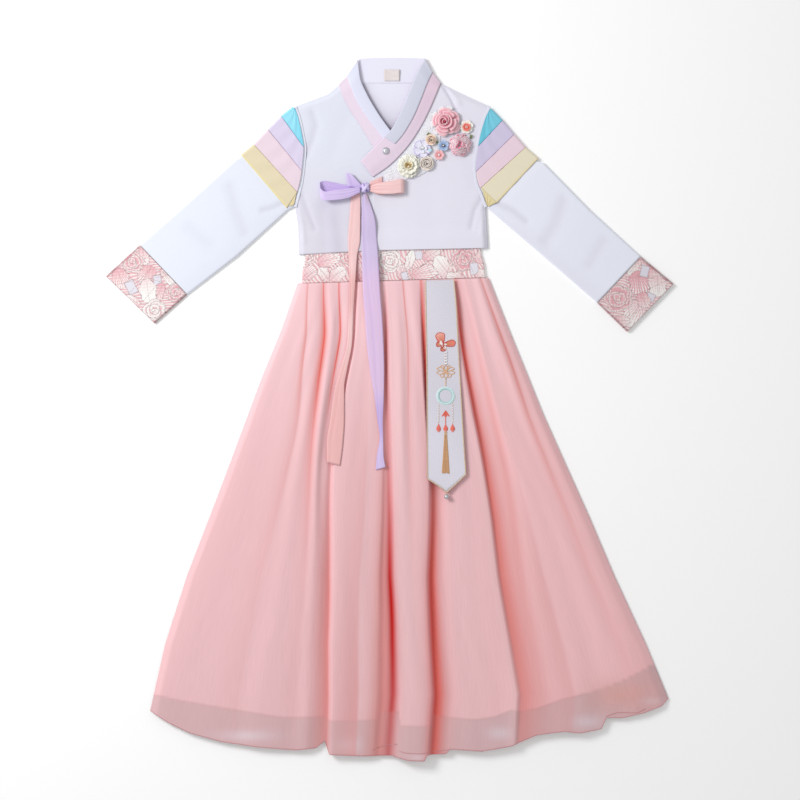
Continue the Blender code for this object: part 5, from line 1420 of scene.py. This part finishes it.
def build_belt():
    heights = strip_heights(BELT)
    x, y, z, share, params = strip_points(BELT, heights, tight=12, across=40)
    tail = np.maximum(params - (len(BELT) - 2), 0.0)
    reach = 1.0 - np.abs(2.0 * share - 1.0)
    end_y = lerp(lerp(BELT[-1][0][1], BELT[-1][1][1], share), BELT_TIP[1], reach)
    before = lerp(BELT[-2][0][1], BELT[-2][1][1], share)
    y = np.where(tail > 0.0, lerp(before, end_y, tail), y)
    z = z + 0.25 * np.sin(math.pi * share) + 0.12 * np.sin(y / 23.0 + 3.0 * share)
    rib = 0.5 + 0.5 * np.sin(x * 2.6)
    soft = 0.5 + 0.5 * np.sin(y / 31.0 + share * 2.0)
    # Painted light: the belt is painted brighter towards its lower end.
    lower = 0.05 * ramp((30.0 - y) / 90.0)
    colour = BELT_WHITE * (1.0 - 0.05 * rib - 0.05 * soft + lower)[..., None]
    panel = surface("belt_cloth", stacked(x, y, z), "belt_satin", colour, wall=0.8)
    dress(panel, "belt_white", "belt_panel")

    left, right = np.stack((x[:, 0], y[:, 0], z[:, 0]), -1), np.stack((x[:, -1], y[:, -1], z[:, -1]), -1)
    tip = np.stack((x[-1], y[-1], z[-1]), -1)
    path = np.concatenate((left[:-1], tip, right[::-1][1:])) + (0.0, 0.0, 0.9)
    inward = np.zeros(path.shape)
    inward[:, 0] = np.clip((x.mean() - path[:, 0]) / BINDING_REACH, -1.0, 1.0)
    gold = Pile()
    gold.add(tube_points(path + inward, 1.0, 8, 0.45), tint(214, 190, 164), wrap=True)
    gold = gold.build("belt_gold_edge", "gold_thread")
    dress(gold, "gold_trim", "belt_binding")

    levels = [(row[0][1] + row[1][1]) / 2.0 for row in BELT][::-1]

    def on_belt(px, py, lift=0.0):
        return stacked(px, py, np.interp(py, levels, heights[::-1]) + 1.05 + lift)

    def path_on(points, lift=0.15, fine=8):
        table = along_rows(points, np.linspace(0.0, len(points) - 1, (len(points) - 1) * fine + 1))
        return on_belt(table[:, 0], table[:, 1], lift)

    art = Pile()
    cx = BELT_MIDDLE
    outline_red = tint(202, 74, 64)
    for heading, length, width, colours in BUTTERFLY_WINGS:
        base = on_belt(BUTTERFLY[0], BUTTERFLY[1], 0.1)
        petal(art, base, heading, length, width, colours, wave=0.15, cup=-0.3, detail=(10, 13))
        rim = [(BUTTERFLY[0] + length * k * math.cos(heading) - t * width * math.sin(heading) / 2.0,
                BUTTERFLY[1] + length * k * math.sin(heading) + t * width * math.cos(heading) / 2.0)
               for k, t in ((0.1, -0.2), (0.5, -0.75), (0.8, -0.9), (1.0, 0.0), (0.8, 0.9),
                            (0.5, 0.75), (0.1, 0.2))]
        thread(art, path_on(rim, 0.35), 0.5, outline_red)
        for turn in (-0.35, 0.0, 0.35):
            vein = [(BUTTERFLY[0] + length * k * math.cos(heading + turn * k),
                     BUTTERFLY[1] + length * k * math.sin(heading + turn * k))
                    for k in (0.25, 0.5, 0.8)]
            thread(art, path_on(vein, 0.4), 0.3, STRING)
    for heading, length, width in ((1.9, 7.0, 5.0), (-0.75, 9.5, 5.0), (0.15, 8.0, 3.5)):
        petal(art, on_belt(BUTTERFLY[0], BUTTERFLY[1], 0.6), heading, length, width,
              (tint(250, 240, 238), tint(250, 226, 222)), leaf=True)
    thread(art, path_on([(78.0, 88.5), (81.0, 93.0), (79.5, 99.0)], 0.9), 0.9, outline_red, sides=8)
    thread(art, path_on([(cx, 86.0), (cx, 64.0)]), 0.35, STRING)
    for level in np.linspace(82.5, 65.5, 5):
        thread(art, path_on([(cx - 2.1, level), (cx + 2.1, level)], 0.5), 1.15,
               tint(248, 247, 249), sides=8)
    peach = tint(232, 186, 146)
    for bend in (-1.0, 1.0):
        for reach, rise, drop in ((13.0, 7.0, 2.0), (13.5, 1.5, -4.0), (8.0, 9.5, 5.0),
                                  (8.5, -2.0, -8.5)):
            loop = [(cx, 53.5), (cx + bend * reach * 0.55, 53.5 + rise),
                    (cx + bend * reach, 53.5 + (rise + drop) / 2.0),
                    (cx + bend * reach * 0.6, 53.5 + drop), (cx, 53.5)]
            thread(art, path_on(loop, 0.2), 0.6, peach)
        thread(art, path_on([(cx, 64.0), (cx + 3.5 * bend, 58.0), (cx, 53.5),
                             (cx - 3.5 * bend, 48.5), (cx, 43.5)], 0.5), 0.55, peach)
    for level in (42.0, 39.0, 36.0, 33.0):
        ball(art, on_belt(cx, level, 0.4), 1.1, tint(238, 196, 148), 8)
    angle = np.linspace(0.0, 2.0 * math.pi, 61)
    for radius, size, colour in ((11.8, 1.7, MINT), (13.8, 0.45, tint(236, 244, 246)),
                                 (9.8, 0.45, tint(160, 210, 210))):
        thread(art, on_belt(cx + radius * np.cos(angle), 17.3 + radius * np.sin(angle), 0.3),
               size, colour, 0.5, 8)
    for side in (-10.5, 10.5):
        thread(art, path_on([(cx + side * 0.9, 9.0), (cx + side, 2.0), (cx + side, -25.0)]), 0.35,
               STRING)
        for level in (4.0, 0.0, -4.0, -8.0, -12.0, -16.0, -20.0):
            ball(art, on_belt(cx + side, level, 0.4), 1.0, tint(247, 244, 244), 8)
    thread(art, path_on([(cx, -9.0), (cx, -25.0)], 0.3), 0.7, CORAL)
    for bend in (-1.0, 1.0):
        thread(art, path_on([(cx, -5.0), (cx + 2.6 * bend, -9.0), (cx + 5.2 * bend, -13.0)], 0.3),
               1.0, CORAL, sides=8)
    petal(art, on_belt(cx, -6.0, 0.3), -1.57, 9.0, 6.0, (CORAL, CORAL), leaf=True)
    for side in (-10.5, 0.0, 10.5):
        drop = path_on([(cx + side, -24.0), (cx + side, -30.0), (cx + side, -37.0)], 0.2)
        share = np.linspace(0.0, 1.0, len(drop))
        art.add(tube_points(drop, 0.4 + 3.2 * np.sin(math.pi * share ** 1.6), 10, 0.3),
                lerp(CORAL, CORAL_LIGHT, 0.5 * (share > 0.8)[:, None, None]), wrap=True)
    rng = random.Random(5)
    for k in range(17):
        share = k / 16.0 * 2.0 - 1.0
        start = (cx + 1.4 * share, -38.0)
        end = (cx + 5.4 * share, -99.0 + 2.0 * rng.random())
        middle = (lerp(start[0], end[0], 0.5) + rng.uniform(-0.2, 0.2), -68.0)
        thread(art, path_on([start, middle, end], 0.15 + 0.1 * (k % 2)), 0.55,
               TASSEL * (0.9 + 0.2 * rng.random()))
    for level in (-37.0, -39.0, -41.0):
        thread(art, path_on([(cx - 2.1, level), (cx + 2.1, level)], 0.6), 0.6, tint(236, 200, 160))
    art = art.build("belt_embroidery", "thread")

    bead = Pile()
    bead_z = heights[-1] + 0.5
    ball(bead, (*BEAD, bead_z), BEAD_RADIUS, tint(196, 200, 204), 20)
    ball(bead, (BEAD[0], BEAD[1] + 5.0, bead_z), 1.2, tint(220, 190, 150), 10)
    dress(bead.build("belt_drop", "silver_metal"), "silver_bead", "belt_bead")


# Flowers and lace on the over front

ORNAMENT_LINE = ((68.7, 440.7), (64.0, 417.0), (51.0, 382.5), (24.0, 357.0), (-6.5, 344.0))
PEARL = tint(240, 236, 232)
ROSE = (tint(222, 112, 138), tint(248, 196, 206))
ROSE_RIM = tint(255, 226, 232)
LEAF_HEADINGS = (0.2, -1.4, 0.9)
GOLDEN_ANGLE = 2.39996


def ring_of_petals(pile, centre, count, radius, base, phase, uneven=0.0, **looks):
    length = looks.pop("length")
    for k in range(count):
        heading = phase + 2.0 * math.pi * k / count + uneven * math.sin(5.0 * k + phase)
        start = (centre[0] + radius * math.cos(heading), centre[1] + radius * math.sin(heading),
                 base + 2.0 * uneven * math.sin(3.0 * k))
        petal(pile, start, heading, length=length * (1.0 + uneven * math.sin(7.0 * k + 1.0)),
              **looks)


def frill(pile, centre, base, count, radius, height, length, colours, wave=0.8, tilt=1.25,
          rim=None):
    """Small frilled petals crowded over a low dome."""
    for k in range(count):
        share = math.sqrt((k + 0.5) / count)
        heading = k * GOLDEN_ANGLE
        start = (centre[0] + radius * share * 0.7 * math.cos(heading),
                 centre[1] + radius * share * 0.7 * math.sin(heading),
                 base + height * (1.0 - share * share) * 0.5)
        petal(pile, start, heading + 0.4 * math.sin(k), length, length * 1.05, colours,
              rise=tilt * (1.0 - 0.75 * share), wave=wave, waves=4.0, tip=0.1, detail=(5, 9),
              rim=rim)


def build_flowers():
    places = {name: (centre, base) for name, centre, _, _, _, _, base, _ in FLOWERS}

    def flower(name, slot, build):
        pile = Pile()
        centre, base = places[name]
        build(pile, centre, base)
        dress(pile.build(f"{name}_petals", "petal_cloth", wall=0.25), slot, f"flower_{name}")

    def rose(pile, c, base):
        white = (tint(236, 232, 234), tint(248, 246, 248))
        for heading, shift in ((2.5, 16.0), (1.9, 17.0), (1.3, 17.0), (3.3, 16.0), (3.9, 17.0)):
            start = (c[0] + shift * math.cos(heading), c[1] + shift * math.sin(heading), base)
            petal(pile, start, heading, 7.5, 9.0, white, cup=0.4, wave=0.4, waves=3.0)
        ring_of_petals(pile, (c[0] + 2.5, c[1] - 5.5), 3, 4.0, base + 0.4, 4.0, length=15.0,
                       width=17.0, colours=ROSE, rise=0.10, cup=1.2, curl=0.8, tip=0.3,
                       rim=ROSE_RIM)
        ring_of_petals(pile, c, 5, 4.5, base + 0.8, 0.5, uneven=0.05, length=16.6, width=21.0,
                       colours=ROSE, rise=0.14, cup=1.2, curl=0.8, wave=0.5, waves=2.0, tip=0.3,
                       rim=ROSE_RIM)
        ring_of_petals(pile, c, 4, 3.4, base + 2.2, 1.2, uneven=0.06, length=13.6, width=19.0,
                       colours=ROSE, rise=0.34, cup=1.6, curl=1.2, wave=0.5, waves=2.0, tip=0.3,
                       rim=ROSE_RIM)
        ring_of_petals(pile, (c[0] - 1.5, c[1] + 0.6), 4, 2.6, base + 4.0, 0.2, length=10.0,
                       width=15.0, colours=ROSE, rise=0.6, cup=2.2, curl=1.5, tip=0.3,
                       rim=ROSE_RIM)
        spiral(pile, (c[0] - 3.0, c[1] + 1.0), 2.3, (1.0, 7.4), base + 2.0, (9.6, 8.2),
               (tint(204, 60, 92), tint(252, 206, 216)), wobble=1.0, lean=0.9)
        ball(pile, (c[0] - 3.0, c[1] + 1.0, base + 6.0), 3.0, tint(226, 104, 132), 10)

    def coral(pile, c, base):
        white = (tint(240, 226, 214), tint(252, 249, 242))
        ring_of_petals(pile, c, 7, 2.0, base + 0.3, 0.4, uneven=0.08, length=8.6, width=7.6,
                       colours=white, rise=0.15, cup=0.6, wave=0.4, waves=3.0)
        red = (tint(226, 78, 72), tint(250, 150, 138))
        ring_of_petals(pile, c, 6, 1.0, base + 1.6, 0.9, length=5.6, width=5.0, colours=red,
                       rise=0.35, cup=0.8, wave=0.3)
        for k in range(5):
            ball(pile, (c[0] + 1.6 * math.cos(k * 1.26), c[1] + 1.6 * math.sin(k * 1.26),
                        base + 4.6), 0.9, tint(253, 214, 196), 8)

    def carnation(pile, c, base):
        deep = (tint(234, 84, 128), tint(252, 160, 190))
        pale = (tint(250, 150, 184), tint(255, 236, 243))
        rim = tint(255, 248, 251)
        frill(pile, c, base + 0.6, 46, 16.4, 7.0, 6.6, deep, tilt=0.7, rim=rim)
        frill(pile, c, base + 2.4, 40, 14.4, 7.0, 5.4, pale, wave=0.9, tilt=0.9, rim=rim)
        frill(pile, c, base + 5.6, 20, 9.0, 3.0, 4.0, deep, wave=0.9, tilt=1.1, rim=rim)

    def blue(pile, c, base):
        tints = (tint(132, 158, 204), tint(190, 210, 238))
        ring_of_petals(pile, c, 5, 1.4, base + 0.5, 0.3, length=7.2, width=7.8, colours=tints,
                       rise=0.2, cup=0.7, wave=0.2, waves=2.0)
        ball(pile, (*c, base + 2.6), 2.1, tint(84, 78, 88), 12)
        ball(pile, (*c, base + 4.0), 1.3, tint(250, 240, 214), 10)

    def rosebud(pile, c, base):
        tints = (tint(236, 196, 168), tint(252, 234, 216))
        ring_of_petals(pile, c, 5, 2.2, base + 0.6, 0.9, uneven=0.06, length=6.6, width=9.0,
                       colours=tints, rise=0.4, cup=1.2)
        spiral(pile, c, 2.6, (0.7, 5.6), base + 0.6, (6.4, 5.2), tints, wobble=0.3, lean=0.6)

    def pansy(pile, c, base):
        tints = (tint(240, 238, 250), tint(233, 230, 248))
        edge = tint(176, 160, 216)
        ring_of_petals(pile, c, 5, 2.0, base + 0.5, 1.1, uneven=0.05, length=11.6, width=13.0,
                       colours=tints, rise=0.14, cup=0.9, curl=0.4, wave=0.5, waves=3.0, rim=edge)
        ring_of_petals(pile, c, 3, 0.8, base + 1.6, 0.4, length=6.4, width=7.0,
                       colours=(tint(224, 230, 248), tint(246, 243, 252)), rise=0.4, cup=0.8)
        petal(pile, (c[0] + 8.0, c[1] - 1.0, base + 1.8), -0.35, 6.0, 6.5,
              (tint(216, 236, 248), tint(176, 228, 244)), cup=0.5, rim=tint(240, 206, 232))

    def small_pink(pile, c, base):
        tints = (tint(234, 146, 156), tint(250, 206, 208))
        ring_of_petals(pile, c, 6, 1.2, base + 0.5, 0.0, length=6.8, width=6.2, colours=tints,
                       rise=0.25, cup=0.7, wave=0.3, waves=2.0)

    def rosette(pile, c, base):
        tints = (tint(218, 194, 180), tint(250, 243, 236))
        ring_of_petals(pile, c, 8, 5.4, base + 0.4, 0.0, length=6.0, width=8.2, colours=tints,
                       rise=0.25, cup=0.8)
        spiral(pile, c, 3.6, (0.7, 9.2), base + 0.4, (5.4, 3.2), tints, wobble=0.3, lean=0.8)

    def ivory(pile, c, base):
        outer = (tint(228, 222, 196), tint(254, 253, 244))
        inner = (tint(220, 204, 150), tint(250, 247, 230))
        ring_of_petals(pile, c, 13, 3.0, base + 0.4, 0.1, uneven=0.10, length=14.6, width=8.4,
                       colours=outer, rise=0.12, cup=1.4, wave=1.0, waves=3.0, tip=0.15)
        ring_of_petals(pile, c, 11, 2.4, base + 1.8, 0.4, uneven=0.12, length=11.4, width=7.2,
                       colours=outer, rise=0.35, cup=1.2, wave=1.0, waves=3.0, tip=0.15)
        ring_of_petals(pile, c, 8, 1.4, base + 3.2, 0.2, uneven=0.12, length=7.0, width=5.4,
                       colours=inner, rise=0.6, cup=1.0, wave=0.8, waves=3.0)

    for name, slot, build in (
            ("rose", "flower_pink", rose), ("coral", "flower_coral", coral),
            ("carnation", "flower_pink", carnation), ("blue", "flower_blue", blue),
            ("rosebud", "flower_cream", rosebud), ("pansy", "flower_lilac", pansy),
            ("small_pink", "flower_pink", small_pink), ("rosette", "flower_cream", rosette),
            ("ivory", "flower_cream", ivory)):
        flower(name, slot, build)

    pearls = Pile()
    for name, shift, lift, size in (("pansy", (0.8, 1.6), 3.6, 1.9),
                                    ("small_pink", (0.0, 0.0), 2.8, 1.8),
                                    ("ivory", (0.5, -1.8), 6.2, 1.9)):
        (px, py), base = places[name]
        ball(pearls, (px + shift[0], py + shift[1], base + lift), size, PEARL, 14)
    pearls.build("flower_pearls", "pearl")

    stamens = Pile()
    (px, py), base = places["ivory"]
    for k in range(14):
        heading = k * GOLDEN_ANGLE
        reach = 3.4 + 1.6 * math.sin(k * 1.7)
        line = [(px, py, base + 3.5), (px + reach * 0.5 * math.cos(heading),
                                       py + reach * 0.5 * math.sin(heading), base + 6.4),
                (px + reach * math.cos(heading), py + reach * math.sin(heading), base + 7.6)]
        stamens.add(tube_points(along_rows(line, np.linspace(0.0, 2.0, 7)), 0.28, 5),
                    tint(206, 164, 78), wrap=True)
        ball(stamens, line[-1], 0.7, tint(222, 178, 78), 8)
    stamens.build("flower_stamens", "gold_thread")

    green = (tint(98, 106, 68), tint(142, 150, 104))
    for i, (centre, size, base) in enumerate(LEAVES, start=1):
        pile = Pile()
        first = LEAF_HEADINGS[i - 1]
        for heading in (first, first + 0.9):
            start = (centre[0] - size * math.cos(heading), centre[1] - size * math.sin(heading),
                     base + 0.4)
            petal(pile, start, heading, size * 2.6, size * 1.1, green, rise=0.15, cup=0.5,
                  leaf=True)
        dress(pile.build(f"leaf_blade_{i}", "petal_cloth", wall=0.25), "leaf_green", f"leaf_{i}")


def build_lace():
    height = float(over_height(60.0, 400.0)) + LAYER
    x, y, z, _, _ = strip_points(LACE, [height] * len(LACE), tight=14, across=22)
    net = surface("lace_net", stacked(x, y, z), "lace_thread", tint(240, 240, 247), wall=0.35)
    dress(net, "lace_white", "lace_patch")
    cords = Pile()
    rng = random.Random(8)
    top = height + 0.45
    for side in (0, -1):
        edge = np.stack((x[:, side], y[:, side], np.full(len(x), top)), axis=-1)
        length = np.cumsum(np.append(0.0, np.linalg.norm(np.diff(edge, axis=0), axis=1)))
        scallop = np.abs(np.sin(length / 2.4))
        centre = np.stack((x[:, 10], y[:, 10]), axis=-1)
        away = edge[:, :2] - centre
        away /= np.linalg.norm(away, axis=1)[:, None] + 1e-6
        edge[:, :2] += away * (scallop[:, None] * 1.6 - 1.0)
        fine = along_rows(edge, np.linspace(0.0, len(edge) - 1, len(edge) * 3))
        cords.add(tube_points(fine, 0.5, 6, 0.7), tint(248, 248, 252), wrap=True)
    for k in range(26):
        row = int(lerp(3, len(x) - 4, k / 25.0))
        column = int(rng.uniform(3, 18))
        cx, cy = x[row, column], y[row, column]
        turn = rng.uniform(0.0, 6.3)
        a = np.linspace(0.0, 8.5, 40)
        radius = 0.5 + 0.42 * a
        line = stacked(cx + radius * np.cos(a + turn), cy + radius * np.sin(a + turn), top + 0.1)
        cords.add(tube_points(line, 0.4, 6, 0.7), tint(250, 250, 253), wrap=True)
    cords = cords.build("lace_cords", "lace_thread")


# Floor, light and camera

FLOOR_SIZE = 12.0
FLOOR_DROP = 0.0004
FLOOR_GLOW = 0.12
WORLD_STRENGTH = 0.55
# Key light: place, size, power
KEY_LIGHT = ((-1.5, 0.9, 1.5), 0.9, 34.0)
VIEW_WIDTH = 1.2
CAMERA_HEIGHT = 4.0
FOCUS_HEIGHT = 0.008
VIEW_CENTRE = (0.0154, 0.0132)
SENSOR = 36.0


def area_light(name, place, size, power):
    """A round white light that faces the middle of the floor."""
    data = bpy.data.lights.new(name, "AREA")
    data.shape = "DISK"
    data.size = size
    data.energy = power
    light = bpy.data.objects.new(name, data)
    bpy.context.scene.collection.objects.link(light)
    light.location = place
    direction = -np.array(place)
    light.rotation_euler = Vector(direction).to_track_quat("-Z", "Y").to_euler()


def build_stage():
    half = FLOOR_SIZE / 2.0
    mesh = bpy.data.meshes.new("floor")
    mesh.from_pydata([(-half, -half, 0.0), (half, -half, 0.0), (half, half, 0.0),
                      (-half, half, 0.0)], [], [(0, 1, 2, 3)])
    floor = bpy.data.objects.new("floor", mesh)
    bpy.context.scene.collection.objects.link(floor)
    floor.location.z = -FLOOR_DROP
    material = bpy.data.materials.new("floor_paper")
    material.use_nodes = True
    shader = material.node_tree.nodes["Principled BSDF"]
    shader.inputs["Base Color"].default_value = (0.93, 0.93, 0.93, 1.0)
    shader.inputs["Roughness"].default_value = 0.9
    shader.inputs["Specular IOR Level"].default_value = 0.1
    shader.inputs["Emission Color"].default_value = (1.0, 1.0, 1.0, 1.0)
    shader.inputs["Emission Strength"].default_value = FLOOR_GLOW
    mesh.materials.append(material)

    scene = bpy.context.scene
    world = bpy.data.worlds.new("studio")
    world.use_nodes = True
    world.node_tree.nodes["Background"].inputs["Color"].default_value = (1.0, 1.0, 1.0, 1.0)
    world.node_tree.nodes["Background"].inputs["Strength"].default_value = WORLD_STRENGTH
    scene.world = world
    scene.view_settings.view_transform = "Standard"
    place, size, power = KEY_LIGHT
    area_light("key", place, size, power)

    data = bpy.data.cameras.new("camera")
    data.sensor_width = SENSOR
    data.lens = SENSOR * CAMERA_HEIGHT / VIEW_WIDTH
    data.clip_end = 20.0
    camera = bpy.data.objects.new("camera", data)
    scene.collection.objects.link(camera)
    camera.location = (*VIEW_CENTRE, CAMERA_HEIGHT + FOCUS_HEIGHT)
    scene.camera = camera


def main():
    make_materials()
    build_stage()
    build_jacket()
    build_collar()
    build_sleeve("left", SLEEVE_LEFT, CUFF_LEFT, STRIPES_LEFT, armhole_left)
    build_sleeve("right", SLEEVE_RIGHT, CUFF_RIGHT, STRIPES_RIGHT, armhole_right)
    build_gathers()
    build_waistband()
    build_skirt()
    build_bow()
    build_tails()
    build_belt()
    build_lace()
    build_flowers()


main()
